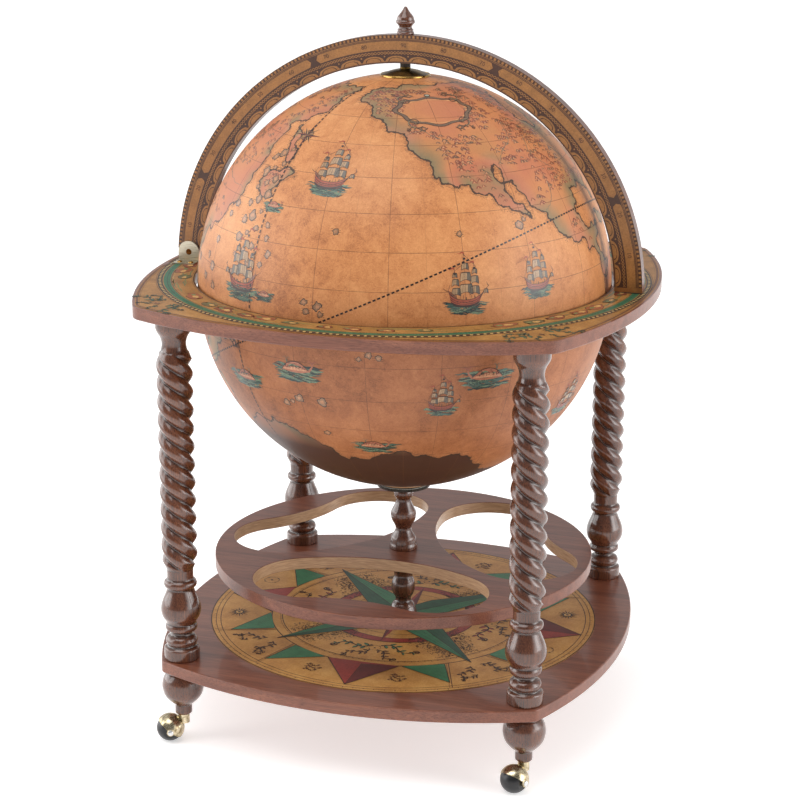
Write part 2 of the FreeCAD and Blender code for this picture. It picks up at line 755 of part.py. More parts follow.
def stand():
    nodes = {"horizon_board": horizon_board(), "horizon_print": horizon_print()}
    nodes["bottom_shelf"] = bottom_shelf()
    nodes["shelf_print"] = shelf_print()
    nodes["middle_shelf"] = middle_shelf()
    nodes["column_lower"] = moved(column_lower(), 0, 0, shelf_top)
    nodes["column_upper"] = moved(column_upper(), 0, 0, middle_top)
    nodes["tie_rod"] = tie_rod()
    nodes["tie_rod_nuts"] = tie_rod_nuts()
    nodes["dowel_screws"] = dowel_screws()
    nodes["turntable_base"] = turntable_base()
    nodes["turntable_washer"] = turntable_washer()
    return nodes


def legs_and_casters():
    nodes = {}
    one_leg = leg()
    one_foot = foot()
    one_socket = caster_socket()
    caster = {"caster_hood": caster_hood(), "caster_wheel": caster_wheel(), "caster_axle": caster_axle()}
    for name, (x, y) in corners.items():
        nodes["leg_" + name] = moved(one_leg, x, y, shelf_top)
        nodes["foot_" + name] = moved(one_foot, x, y, foot_lift)
        nodes["caster_socket_" + name] = moved(one_socket, x, y, 0)
        for piece, shape in caster.items():
            nodes[piece + "_" + name] = moved(shape, x, y, 0, caster_angles[name])
    return nodes


def bowl():
    return {
        "turntable_top": turntable_top(),
        "bowl_boss": bowl_boss(),
        "bowl_floor_plate": bowl_floor_plate(),
        "bowl_screws": bowl_screws(),
        "bowl_shell": bowl_shell(),
        "bowl_rim": bowl_rim(),
        "tray_ledge": tray_ledge(),
        "bar_tray": bar_tray(),
        "bottle_rack": bottle_rack(),
        "rack_posts": rack_posts(),
    }


def lid():
    return {
        "lid_shell": lid_shell(),
        "lid_rim": lid_rim(),
        "polar_bush": polar_bush(),
        "polar_cap": polar_cap(),
    }


def meridian_and_hinge():
    return {
        "meridian_arc": meridian_arc(),
        "polar_spindle": polar_spindle(),
        "spindle_washer": spindle_washer(),
        "spindle_nut": spindle_nut(),
        "finial": moved(finial(), 0, 0, meridian_z + meridian_outer + seat),
        "hinge_bracket_front": hinge_bracket(-1),
        "hinge_bracket_back": hinge_bracket(1),
        "hinge_pin": hinge_pin(),
        "hinge_screws": hinge_screws(),
        "rest_pad": rest_pad(),
    }


os.makedirs("parts", exist_ok=True)
for group in (stand(), legs_and_casters(), bowl(), lid(), meridian_and_hinge()):
    for node, shape in group.items():
        if not shape.isValid():
            raise ValueError(node + " is not valid")
        shape.exportStep("parts/" + node + ".step")
        print(node, len(shape.Solids), round(shape.Volume))
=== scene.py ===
import math
import bpy
import numpy as np
from mathutils import Matrix, Vector


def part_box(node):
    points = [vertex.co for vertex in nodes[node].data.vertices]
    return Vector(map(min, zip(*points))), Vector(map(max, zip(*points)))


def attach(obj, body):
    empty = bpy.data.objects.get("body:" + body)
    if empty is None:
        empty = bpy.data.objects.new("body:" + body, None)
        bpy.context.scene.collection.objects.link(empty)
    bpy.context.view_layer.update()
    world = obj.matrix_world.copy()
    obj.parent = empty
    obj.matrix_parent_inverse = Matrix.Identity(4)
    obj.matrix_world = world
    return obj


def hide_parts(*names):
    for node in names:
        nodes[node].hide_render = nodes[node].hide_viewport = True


# A bar globe on a four-legged stand: turned walnut, printed and varnished paper, aged brass.
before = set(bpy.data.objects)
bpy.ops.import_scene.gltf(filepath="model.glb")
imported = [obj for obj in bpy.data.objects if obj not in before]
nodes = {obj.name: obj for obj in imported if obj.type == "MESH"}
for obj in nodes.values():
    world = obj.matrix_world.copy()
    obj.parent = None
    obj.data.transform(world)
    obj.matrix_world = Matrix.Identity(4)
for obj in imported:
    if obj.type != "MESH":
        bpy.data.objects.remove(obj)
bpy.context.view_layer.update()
print("frame loaded:", len(nodes), "nodes")

cornerSigns = {"front_left": (-1, -1), "front_right": (1, -1), "back_right": (1, 1), "back_left": (-1, 1)}
deg = math.pi / 180
mm = 0.001


def hexColour(code):  # sRGB hex to linear: c / 12.92 below 0.04045, else ((c + 0.055) / 1.055) ^ 2.4
    parts = [int(code[i:i + 2], 16) / 255 for i in (0, 2, 4)]
    return tuple(c / 12.92 if c <= 0.04045 else ((c + 0.055) / 1.055) ** 2.4 for c in parts) + (1.0,)


def add(tree, kind, feeds=None, stops=(), into=None, **settings):
    # feeds: socket -> a node, a socket or a value; stops: (place, hex colour or grey); into: a socket to feed
    made = tree.nodes.new("ShaderNode" + kind)
    for key, value in settings.items():
        setattr(made, key, value)
    for socket, value in (feeds or {}).items():
        if isinstance(value, bpy.types.Node):
            tree.links.new(value.outputs[0], made.inputs[socket])
        elif isinstance(value, bpy.types.NodeSocket):
            tree.links.new(value, made.inputs[socket])
        else:
            made.inputs[socket].default_value = value
    for _ in stops[2:]:
        made.color_ramp.elements.new(0.5)
    for index, (place, tone) in enumerate(stops):
        made.color_ramp.elements[index].position = place
        made.color_ramp.elements[index].color = (hexColour(tone) if isinstance(tone, str)
                                                 else (tone, tone, tone, 1))
    if into:
        tree.links.new(made.outputs[0], into)
    return made


def newMaterial(name, roughness=0.5, metallic=0.0, coat=0.0, coatRoughness=0.05, ior=None):
    made = bpy.data.materials.new(name)
    made.use_nodes = True
    tree = made.node_tree
    tree.nodes.clear()
    shader = add(tree, "BsdfPrincipled", {"Roughness": roughness, "Metallic": metallic,
                                          "Coat Weight": coat, "Coat Roughness": coatRoughness})
    if ior:
        shader.inputs["IOR"].default_value = ior
    add(tree, "OutputMaterial", {"Surface": shader})
    return made, tree, shader


def dress(nodeName, made):
    mesh = nodes[nodeName].data
    mesh.materials.clear()
    mesh.materials.append(made)


def meshFromGrid(name, points, material, closeAround=False, closeAlong=False, flip=False, smooth=True):
    # points is rows x columns x 3; each cell between neighbours is one face
    rows, cols = points.shape[:2]
    row = np.arange(rows if closeAlong else rows - 1)
    col = np.arange(cols if closeAround else cols - 1)
    i, j = np.meshgrid(row, col, indexing="ij")
    i2, j2 = (i + 1) % rows, (j + 1) % cols
    quads = np.stack([i * cols + j, i * cols + j2, i2 * cols + j2, i2 * cols + j], -1).reshape(-1, 4)
    if flip:
        quads = quads[:, ::-1]
    return meshFromQuads(name, points.reshape(-1, 3), quads, material, smooth)


def meshFromQuads(name, points, quads, material, smooth=True):
    mesh = bpy.data.meshes.new(name)
    mesh.vertices.add(len(points))
    mesh.vertices.foreach_set("co", np.ascontiguousarray(points, np.float32).ravel())
    mesh.loops.add(len(quads) * 4)
    mesh.loops.foreach_set("vertex_index", np.ascontiguousarray(quads, np.int32).ravel())
    mesh.polygons.add(len(quads))
    mesh.polygons.foreach_set("loop_start", np.arange(0, len(quads) * 4, 4, dtype=np.int32))
    mesh.update(calc_edges=True)
    mesh.validate()
    mesh.polygons.foreach_set("use_smooth", np.full(len(mesh.polygons), smooth))
    mesh.materials.append(material)
    piece = bpy.data.objects.new(name, mesh)
    bpy.context.scene.collection.objects.link(piece)
    return piece


def settle(piece, body, slot, *replaced):
    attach(piece, body)
    if replaced:
        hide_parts(*replaced)
    return piece


def addValues(piece, name, values):
    layer = piece.data.attributes.new(name, "FLOAT", "POINT")
    layer.data.foreach_set("value", np.ascontiguousarray(values, np.float32).ravel())


def smoothProfile(points, step):
    # a Catmull-Rom curve through (radius, height) points; a point given twice is a sharp corner
    points = np.array(points, float)
    padded = np.vstack([2 * points[0] - points[1], points, 2 * points[-1] - points[-2]])
    runs = []
    for k in range(len(points) - 1):
        a, b, c, d = padded[k:k + 4]
        span = np.hypot(*(c - b))
        if span < 1e-6:
            continue
        if np.hypot(*(b - a)) < 1e-6:
            a = 2 * b - c
        if np.hypot(*(d - c)) < 1e-6:
            d = 2 * c - b
        t = np.linspace(0, 1, max(2, int(span / step) + 1), endpoint=False)[:, None]
        runs.append(0.5 * (2 * b + (c - a) * t + (2 * a - 5 * b + 4 * c - d) * t ** 2
                           + (3 * b - 3 * c + d - a) * t ** 3))
    runs.append(points[-1:])
    return np.vstack(runs)


def lathe(name, profile, material, place=(0, 0, 0), around=72, step=0.0012):
    # a profile of (radius, height) in metres carried round Z: (r cos a, r sin a, h)
    outline = smoothProfile(profile, step)
    angle = np.linspace(0, 2 * np.pi, around, endpoint=False)
    radius = np.maximum(outline[:, 0], 1e-5)[:, None]
    points = np.stack([radius * np.cos(angle), radius * np.sin(angle),
                       np.repeat(outline[:, 1:], around, 1)], -1) + np.array(place)
    return meshFromGrid(name, points, material, closeAround=True)


def hashNoise(x, y, seed=0):  # a repeatable number from 0 to 1 for each pair: the fraction of a large sine
    value = np.sin(x * 127.1 + y * 311.7 + seed * 74.7) * 43758.5453
    return value - np.floor(value)


def smoothNoise(x, y, seed=0):  # hashNoise at whole-number corners, blended in between
    xi, yi = np.floor(x), np.floor(y)
    u, v = x - xi, y - yi
    u, v = u * u * (3 - 2 * u), v * v * (3 - 2 * v)
    low = hashNoise(xi, yi, seed) * (1 - u) + hashNoise(xi + 1, yi, seed) * u
    high = hashNoise(xi, yi + 1, seed) * (1 - u) + hashNoise(xi + 1, yi + 1, seed) * u
    return low * (1 - v) + high * v


camera = {"place": (0.8944, -2.8885, 1.3557), "forward": (-0.28563, 0.91608, -0.28144), "roll": 0.196,
          "lens": 95.85, "sensor": 36.0}


def makeCamera():
    data = bpy.data.cameras.new("camera")
    data.lens = camera["lens"]
    data.sensor_width = camera["sensor"]
    data.clip_start, data.clip_end = 0.05, 60
    made = bpy.data.objects.new("camera", data)
    bpy.context.scene.collection.objects.link(made)
    forward = Vector(camera["forward"]).normalized()
    right = forward.cross(Vector((0, 0, 1))).normalized()
    up = right.cross(forward)
    turn = Matrix((right, up, -forward)).transposed().to_4x4()
    made.matrix_world = (Matrix.Translation(camera["place"]) @ turn
                         @ Matrix.Rotation(camera["roll"] * deg, 4, "Z"))
    bpy.context.scene.camera = made


studio = {"floorTone": "F6F5F4", "toCamera": (0.30, -0.95, 0.05), "nearSky": 0.2, "farSky": 0.68,
          "sideSky": 3.0, "floorGlow": 0.5}
softBoxes = {  # name: place, aimed at, width, height, watts
    "boxLeft": ((-2.5, -1.7, 1.7), (0, 0, 0.6), 1.1, 2.4, 22),
    "boxRight": ((2.8, -0.2, 1.5), (0, 0, 0.6), 1.1, 2.4, 20),
    "boxTop": ((-0.5, -1.4, 3.2), (0, 0, 0.5), 2.6, 2.0, 44),
}


def makeStudio():
    scene = bpy.context.scene
    scene.view_settings.view_transform = "Standard"
    world = bpy.data.worlds.new("studioSky")
    scene.world = world
    world.use_nodes = True
    tree = world.node_tree
    coords = add(tree, "TexCoord")
    facing = add(tree, "VectorMath", {0: coords.outputs["Generated"], 1: studio["toCamera"]},
                 operation="DOT_PRODUCT")
    share = add(tree, "MapRange", {"Value": facing.outputs["Value"], "From Min": -0.1, "From Max": 0.75,
                                   "To Min": studio["farSky"], "To Max": studio["nearSky"]})
    split = add(tree, "SeparateXYZ", {0: coords.outputs["Generated"]})
    side = add(tree, "MapRange", {"Value": add(tree, "Math", {0: split.outputs["X"]}, operation="ABSOLUTE"),
                                  "From Min": 0.76,
                                  "From Max": 0.99, "To Max": studio["sideSky"]},
                                  interpolation_type="SMOOTHSTEP")
    strength = add(tree, "Math", {0: share.outputs["Result"], 1: side.outputs["Result"]}, operation="ADD")
    tree.nodes["Background"].inputs["Color"].default_value = (1, 1, 1, 1)
    tree.links.new(strength.outputs[0], tree.nodes["Background"].inputs["Strength"])
    # matt white sweep, lit a little from behind
    material, tree, shader = newMaterial("paintedStudioFloor", roughness=0.85)
    shader.inputs["Emission Color"].default_value = (1, 1, 1, 1)
    shader.inputs["Emission Strength"].default_value = studio["floorGlow"]
    coords = add(tree, "TexCoord")
    cloud = add(tree, "TexNoise", {"Vector": coords.outputs["Object"], "Scale": 1.3, "Detail": 2.0})
    tone = add(tree, "ValToRGB", {"Fac": cloud}, stops=[(0.3, "F1EFEE"), (0.7, studio["floorTone"])])
    tree.links.new(tone.outputs["Color"], shader.inputs["Base Color"])
    side = np.linspace(-24, 24, 9)
    x, y = np.meshgrid(side, side)
    floor = meshFromGrid("floor", np.stack([x, y, 0 * x], -1), material)
    for name, (place, aim, width, height, watts) in softBoxes.items():
        data = bpy.data.lights.new(name, "AREA")
        data.shape = "RECTANGLE"
        data.size, data.size_y, data.energy = width, height, watts
        box = bpy.data.objects.new(name, data)
        scene.collection.objects.link(box)
        box.location = place
        box.rotation_euler = (Vector(aim) - Vector(place)).to_track_quat("-Z", "Y").to_euler()


makeCamera()
makeStudio()
print("camera, floor and soft boxes placed")


# Beech stained walnut and sprayed with gloss lacquer: fine darker fibres along the grain, small flecks,
# clear coat.
def stainedBeech(name, along, tones, coat=0.55, roughness=0.3, fibreMm=1.3, grooveShadeStrength=0.0):
    made, tree, shader = newMaterial(name, roughness=roughness, coat=coat, coatRoughness=0.07, ior=1.5)
    coords = add(tree, "TexCoord")
    across = 1000 / fibreMm
    stretch = [across] * 3
    stretch["XYZ".index(along)] = across / 34  # fibres run about 34 times longer than they are wide
    fibres = add(tree, "Mapping", {"Vector": coords.outputs["Object"], "Scale": stretch})
    grain = add(tree, "TexNoise", {"Vector": fibres, "Scale": 1.0, "Detail": 4.0, "Roughness": 0.6,
                                   "Distortion": 0.25})
    broad = add(tree, "Mapping", {"Vector": coords.outputs["Object"],
                                  "Scale": [value / 14 for value in stretch]})
    figure = add(tree, "TexNoise", {"Vector": broad, "Scale": 1.0, "Detail": 3.0, "Distortion": 0.8})
    fleckMap = add(tree, "Mapping", {"Vector": coords.outputs["Object"],
                                     "Scale": [value * 0.9 for value in stretch]})
    fleck = add(tree, "ValToRGB",
                {"Fac": add(tree, "TexNoise", {"Vector": fleckMap, "Scale": 1.7, "Detail": 1.0})},
                stops=[(0.60, 0.0), (0.70, 1.0)])
    blend = add(tree, "Mix", {"Factor": 0.45, 2: grain.outputs["Fac"], 3: figure.outputs["Fac"]},
                data_type="FLOAT")
    colour = add(tree, "ValToRGB", {"Fac": blend},
                 stops=[(0.30, tones[0]), (0.50, tones[1]), (0.72, tones[2])])
    flecked = add(tree, "Mix", {0: fleck.outputs["Color"], 6: colour.outputs["Color"],
                                7: hexColour(tones[0])},
                  data_type="RGBA")
    # painted shade: grooves, where the mesh's pointiness is low, are darkened towards near-black; crests keep
    # the wood's colour
    hollow = add(tree, "MapRange", {"Value": add(tree, "NewGeometry").outputs["Pointiness"],
                                    "From Min": 0.515,
                                    "From Max": 0.475, "To Max": grooveShadeStrength})
    grooveShaded = add(tree, "Mix", {0: hollow, 6: flecked.outputs[2], 7: hexColour("1C0D08")}, data_type="RGBA")
    tree.links.new(grooveShaded.outputs[2], shader.inputs["Base Color"])
    add(tree, "Bump", {"Height": grain.outputs["Fac"], "Distance": 0.05 * mm, "Strength": 0.35},
        into=shader.inputs["Normal"])
    return made


turnedTones = ("34190F", "5E3523", "875338")
boardTones = ("552A1A", "784430", "945B41")
# the turned pieces are painted darker in their grooves: painted shade
turnedWalnut = stainedBeech("turnedWalnutLacquered", "Z", turnedTones, coat=0.8, roughness=0.26, grooveShadeStrength=0.7)
boardWalnut = stainedBeech("boardWalnutLacquered", "X", boardTones, coat=0.3, roughness=0.36)
trayWalnut = stainedBeech("trayWalnutSatin", "Y", boardTones, coat=0.15, roughness=0.45)
rawBeech = stainedBeech("rawBeech", "X", ("9C7350", "B78D66", "C9A57E"), coat=0.0, roughness=0.7)


# The slotted shelf: stained on its faces, while the cut walls of its slots keep the pale wood under one
# thin coat.
def slottedShelfWood():
    made = stainedBeech("slottedShelfWalnut", "X", boardTones, coat=0.2, roughness=0.4)
    tree = made.node_tree
    shader = next(n for n in tree.nodes if n.type == "BSDF_PRINCIPLED")
    stained = shader.inputs["Base Color"].links[0].from_socket
    coords = add(tree, "TexCoord")
    flat = add(tree, "VectorMath", {0: coords.outputs["Object"], 1: (1, 1, 0)}, operation="MULTIPLY")
    reach = add(tree, "VectorMath", {0: flat}, operation="LENGTH")
    inside = add(tree, "Math", {0: reach.outputs["Value"], 1: 0.2795}, operation="LESS_THAN")
    upright = add(tree, "SeparateXYZ", {0: add(tree, "NewGeometry").outputs["Normal"]})
    slope = add(tree, "Math", {0: upright.outputs["Z"]}, operation="ABSOLUTE")
    wall = add(tree, "Math", {0: slope, 1: 0.35}, operation="LESS_THAN")
    cut = add(tree, "Math", {0: wall, 1: inside}, operation="MULTIPLY")
    streak = add(tree, "Mapping", {"Vector": coords.outputs["Object"], "Scale": (60, 60, 700)})
    pale = add(tree, "ValToRGB",
               {"Fac": add(tree, "TexNoise", {"Vector": streak, "Scale": 1.0, "Detail": 3.0})},
               stops=[(0.3, "A27C5C"), (0.7, "C6A27E")])
    mixed = add(tree, "Mix", {0: cut, 6: stained, 7: pale.outputs["Color"]}, data_type="RGBA")
    tree.links.new(mixed.outputs[2], shader.inputs["Base Color"])
    return made


for nodeName in ("horizon_board", "bottom_shelf"):
    dress(nodeName, boardWalnut)
dress("middle_shelf", slottedShelfWood())
for nodeName in ("bar_tray", "bottle_rack"):
    dress(nodeName, trayWalnut)
for nodeName in ("bowl_rim", "lid_rim", "tray_ledge", "rack_posts"):
    dress(nodeName, turnedWalnut)
for nodeName in ("bowl_boss", "bowl_floor_plate"):
    dress(nodeName, rawBeech)


def millimetres(outline):
    return [(r / 1000, h / 1000) for r, h in outline]


legShape = {"radius": 25.6, "offset": 9.6, "pitch": 79.5, "twistLow": 139.0, "twistFromTop": 53.0,
            "rowMm": 1.3, "around": 80}


def twistLegs():
    # radius(angle, height) = the larger of the turned profile and the outline of three round strands that
    # turn left-handed with height, each the strand circle's far side: d cos t + sqrt(s^2 - (d sin t)^2)
    r = legShape["radius"]
    low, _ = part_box("leg_front_left")
    _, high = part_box("leg_front_left")
    top = (high.z - low.z) * 1000
    lower = [(r - 1.2, 0), (r, 1.2), (r, 15), (r - 1.5, 18), (r - 5.1, 20.5), (r - 4.6, 22.6),
             (r - 2.6, 28), (r - 4.6, 33),
             (r - 6.4, 34.6), (r - 9.8, 37.5), (r - 10.3, 39.5), (r - 9.8, 41.8), (r - 5.9, 43.8),
             (r - 3.5, 45.2),
             (r - 2.5, 49.2), (r - 3.5, 53.2), (r - 4.6, 55), (r - 2.2, 60), (r + 1.4, 66), (r + 3.2, 74),
             (r + 2.6, 82),
             (r + 0.2, 90), (r - 3.4, 98.5), (r - 5.6, 104.5), (r - 6.3, 108), (r - 5.0, 109.6),
             (r - 2.7, 112),
             (r - 2.0, 115.3), (r - 3.1, 119.2), (r - 5.6, 121.6), (r - 6.8, 125), (r - 6.8, 141),
             (r - 9.4, 152), (2, 166)]
    upper = [(2, top - 78), (r - 9.0, top - 62), (r - 5.8, top - 55), (r - 7.6, top - 48),
             (r - 8.6, top - 40),
             (r - 6.4, top - 31), (r - 2.4, top - 24), (r - 0.4, top - 19), (r, top - 13.8), (r, top - 1.2),
             (r - 1.2, top)]
    heights = np.arange(0, top + 0.01, legShape["rowMm"])
    heights = np.unique(np.concatenate([heights, [0.6, 1.2, top - 1.2, top - 0.6, top]]))
    lowerFine, upperFine = smoothProfile(lower, 0.6), smoothProfile(upper, 0.6)
    turned = np.maximum(np.interp(heights, lowerFine[:, 1], lowerFine[:, 0], right=0),
                        np.interp(heights, upperFine[:, 1], upperFine[:, 0], left=0))
    twistLow, twistHigh = legShape["twistLow"], top - legShape["twistFromTop"]
    fade = np.interp(heights, [twistLow - 1, twistLow + 14, twistHigh - 14, twistHigh + 1],
                     [r - 6.4, r + 0.2, r + 0.2, r - 5.4],
                     left=0, right=0)
    angle = np.linspace(0, 2 * np.pi, legShape["around"], endpoint=False)
    offset = legShape["offset"]
    strand = r - offset - 0.1
    turn = -2 * np.pi * (heights - twistLow) / legShape["pitch"]
    rounds = []
    for k in range(3):
        away = angle[None, :] - turn[:, None] - 2 * np.pi * k / 3
        side = offset * np.sin(away)
        rounds.append(offset * np.cos(away) + np.sqrt(np.maximum(strand ** 2 - side ** 2, 0)))
    power = 34.0
    # softens the groove's floor
    outline = (sum(np.maximum(one, 1) ** power for one in rounds)) ** (1 / power)
    shaft = np.minimum(outline, fade[:, None])
    radius = (np.maximum(shaft, 0.1) ** 60 + np.maximum(turned[:, None], 0.1) ** 60) ** (1 / 60)
    radius = np.minimum(radius, r + 3.3)
    radius[0] = radius[-1] = r - 1.2
    radius = np.vstack([np.full(len(angle), 4.2), radius, np.full(len(angle), 4.2)]) / 1000
    heights = np.concatenate([[0], heights, [top]]) / 1000
    for corner in cornerSigns:
        low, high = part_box("leg_" + corner)
        x, y = (low.x + high.x) / 2, (low.y + high.y) / 2
        points = np.stack([x + radius * np.cos(angle), y + radius * np.sin(angle),
                           low.z + np.repeat(heights[:, None], len(angle), 1)], -1)
        leg = meshFromGrid("twistLeg." + corner, points, turnedWalnut, closeAround=True)
        settle(leg, "stand", "walnut", "leg_" + corner)


footProfile = [(4.4, 0), (10.9, 0), (12.2, 0.9), (12.4, 3), (12.4, 12.4), (13.1, 14.2), (16.5, 17),
               (23, 23.5), (27.8, 31),
               (30.1, 40), (30.2, 47), (28.2, 55.5), (24.6, 61.5), (22.6, 63.8), (21.9, 65.4), (22.0, 67.6),
               (21.2, 68.4), (4.4, 68.4)]
lowerColumn = [(21.0, 0), (21.0, 4.6), (19.9, 10), (16.7, 18), (12.6, 23), (11.9, 26), (12.2, 29),
               (15.4, 34.6), (17.4, 40),
               (18.0, 46), (17.4, 53), (15.4, 59.2), (14.2, 63), (14.0, 67), (15.0, 72), (18.6, 78),
               (20.6, 83.5), (21.0, 89.9)]
upperColumn = [(21.0, 0.1), (21.0, 5), (19.8, 9), (19.5, 11.4), (18.5, 17.8), (15.4, 23), (12.6, 28.4),
               (12.1, 33.7),
               (14.2, 39), (16.8, 43.5), (18.6, 48.5), (19.2, 53.4), (18.4, 59), (16.5, 63), (13.2, 69.5),
               (11.4, 75),
               (11.4, 79.4), (13.4, 82.6), (14.4, 85.2), (14.5, 88.6), (13.6, 92), (12.0, 94.6),
               (12.1, 96.4), (15.6, 98.6), (16.0, 100.5)]
finialProfile = [(5.2, 0.0), (11.3, 0.0), (12.1, 0.6), (12.3, 1.8), (11.8, 3.2), (11.0, 4.2), (11.2, 5.2),
                 (11.2, 6.2), (9.9, 7.8), (9.2, 9.9),
                 (10.4, 12.4), (13.0, 15.2), (13.5, 17.0), (13.2, 18.6), (12.3, 19.9), (12.1, 21),
                 (11.2, 24.2), (8.8, 27.6),
                 (6.0, 31), (4.0, 34), (2.7, 36.4), (1.9, 37.6), (0.9, 38.3), (0.0, 38.5)]


def turnedPieces():
    for corner in cornerSigns:
        low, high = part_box("foot_" + corner)
        place = ((low.x + high.x) / 2, (low.y + high.y) / 2, low.z)
        foot = lathe("turnedFoot." + corner, millimetres(footProfile), turnedWalnut, place)
        settle(foot, "stand", "walnut", "foot_" + corner)
    for name, node, profile in (("columnLower", "column_lower", lowerColumn),
                                ("columnUpper", "column_upper", upperColumn)):
        low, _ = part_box(node)
        closed = [(5.1, profile[0][1])] + [profile[0]] + profile + [profile[-1]] + [(5.1, profile[-1][1])]
        settle(lathe(name, millimetres(closed), turnedWalnut, (0, 0, low.z)), "stand", "walnut", node)
    low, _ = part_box("finial")
    settle(lathe("turnedFinial", millimetres(finialProfile), turnedWalnut, (0, 0, low.z), step=0.0006),
           "meridian",
           "walnut", "finial")


twistLegs()
turnedPieces()
print("legs, feet, column and finial turned")


# Brass plated dark and rubbed back: brown-black in the hollows, warm yellow where hands and cloths reach.
def antiqueBrass(name, dark, bright, scaleMm=9.0, roughness=0.32):
    made, tree, shader = newMaterial(name, roughness=roughness, metallic=1.0)
    coords = add(tree, "TexCoord")
    patina = add(tree, "TexNoise", {"Vector": coords.outputs["Object"], "Scale": 1000 / scaleMm,
                                    "Detail": 5.0})
    colour = add(tree, "ValToRGB", {"Fac": patina}, stops=[(0.32, dark), (0.62, bright)])
    fine = add(tree, "TexNoise", {"Vector": coords.outputs["Object"], "Scale": 1600.0, "Detail": 2.0})
    gloss = add(tree, "MapRange", {"Value": fine.outputs["Fac"], "From Min": 0.3, "From Max": 0.7,
                                   "To Min": roughness - 0.08, "To Max": roughness + 0.12})
    tree.links.new(colour.outputs["Color"], shader.inputs["Base Color"])
    tree.links.new(gloss.outputs["Result"], shader.inputs["Roughness"])
    add(tree, "Bump", {"Height": patina.outputs["Fac"], "Distance": 0.08 * mm, "Strength": 0.3},
        into=shader.inputs["Normal"])
    return made


# Nickel-plated brass sheet, brushed along its length: pale and slightly yellow, with fine scratches.
def brushedNickel(name, tones, along="X"):
    made, tree, shader = newMaterial(name, roughness=0.3, metallic=1.0)
    coords = add(tree, "TexCoord")
    stretch = [1800.0] * 3
    stretch["XYZ".index(along)] = 60.0
    lines = add(tree, "Mapping", {"Vector": coords.outputs["Object"], "Scale": stretch})
    scratches = add(tree, "TexNoise", {"Vector": lines, "Scale": 1.0, "Detail": 3.0})
    colour = add(tree, "ValToRGB", {"Fac": scratches}, stops=[(0.3, tones[0]), (0.7, tones[1])])
    gloss = add(tree, "MapRange", {"Value": scratches.outputs["Fac"], "To Min": 0.2, "To Max": 0.42})
    tree.links.new(colour.outputs["Color"], shader.inputs["Base Color"])
    tree.links.new(gloss.outputs["Result"], shader.inputs["Roughness"])
    add(tree, "Bump", {"Height": scratches.outputs["Fac"], "Distance": 0.02 * mm, "Strength": 0.3},
        into=shader.inputs["Normal"])
    return made


# Moulded nylon or acetal: a faint orange-peel grain and small scuffs.
def mouldedPlastic(name, tones, roughness=0.35, grainMm=0.9):
    made, tree, shader = newMaterial(name, roughness=roughness, ior=1.53)
    coords = add(tree, "TexCoord")
    grain = add(tree, "TexNoise", {"Vector": coords.outputs["Object"], "Scale": 1000 / grainMm,
                                   "Detail": 2.0})
    scuff = add(tree, "TexNoise", {"Vector": coords.outputs["Object"], "Scale": 120.0, "Detail": 6.0})
    colour = add(tree, "ValToRGB", {"Fac": scuff}, stops=[(0.35, tones[0]), (0.7, tones[1])])
    tree.links.new(colour.outputs["Color"], shader.inputs["Base Color"])
    add(tree, "Bump", {"Height": grain.outputs["Fac"], "Distance": 0.03 * mm, "Strength": 0.3},
        into=shader.inputs["Normal"])
    return made


# Pressed wool felt: matt, with short fibres that catch the light at its edges.
def pressedFelt(name, tones):
    made, tree, shader = newMaterial(name, roughness=0.95)
    shader.inputs["Sheen Weight"].default_value = 0.3
    coords = add(tree, "TexCoord")
    wool = add(tree, "TexNoise", {"Vector": coords.outputs["Object"], "Scale": 900.0, "Detail": 5.0,
                                  "Roughness": 0.7})
    colour = add(tree, "ValToRGB", {"Fac": wool}, stops=[(0.3, tones[0]), (0.7, tones[1])])
    tree.links.new(colour.outputs["Color"], shader.inputs["Base Color"])
    add(tree, "Bump", {"Height": wool.outputs["Fac"], "Distance": 0.2 * mm, "Strength": 0.7},
        into=shader.inputs["Normal"])
    return made


agedBrass = antiqueBrass("agedBrassPolarCap", "3A2C12", "7E6430")
casterBrass = antiqueBrass("antiqueBrassCaster", "8F7F60", "DCCFB0", scaleMm=5.0, roughness=0.2)
polishedBrass = antiqueBrass("polishedBrassRim", "7E5E2C", "C09A58", scaleMm=12.0, roughness=0.22)
darkBronze = antiqueBrass("darkBronzePin", "3C1E0C", "8A5526", scaleMm=4.0, roughness=0.3)
paleNickel = brushedNickel("brushedNickelHinge", ("B9AE98", "E2DAC6"))
zincSteel = brushedNickel("zincPlatedSteel", ("8E9092", "BFC2C4"), "Z")
chromePlate = brushedNickel("chromePlateAxle", ("C9CBCD", "F0F0F0"), "Z")
blackNylon = mouldedPlastic("blackNylonWheel", ("0E0E10", "1C1C1E"))
paleNylon = mouldedPlastic("naturalNylonBearing", ("BDB9AC", "D8D5C9"), 0.5)
blackFelt = pressedFelt("blackFeltPad", ("060606", "151313"))

for nodeName in ("tie_rod", "tie_rod_nuts", "dowel_screws", "bowl_screws"):
    dress(nodeName, zincSteel)
for nodeName in ("turntable_washer", "polar_bush"):
    dress(nodeName, paleNylon)
for nodeName in ("hinge_bracket_front", "hinge_bracket_back"):
    dress(nodeName, paleNickel)
blackSteel = brushedNickel("blackenedSteel", ("1E1B19", "443D38"), "Z")
for nodeName in ("polar_spindle", "spindle_washer", "spindle_nut", "turntable_base", "turntable_top"):
    dress(nodeName, blackSteel)
dress("hinge_pin", darkBronze)
dress("hinge_screws", polishedBrass)
dress("rest_pad", blackFelt)
for corner in cornerSigns:
    dress("caster_socket_" + corner, darkBronze)
    dress("caster_hood_" + corner, casterBrass)
    dress("caster_wheel_" + corner, blackNylon)
    dress("caster_axle_" + corner, chromePlate)

capShape = {"globeCentre": 650, "globeRadius": 300, "capRadius": 36}


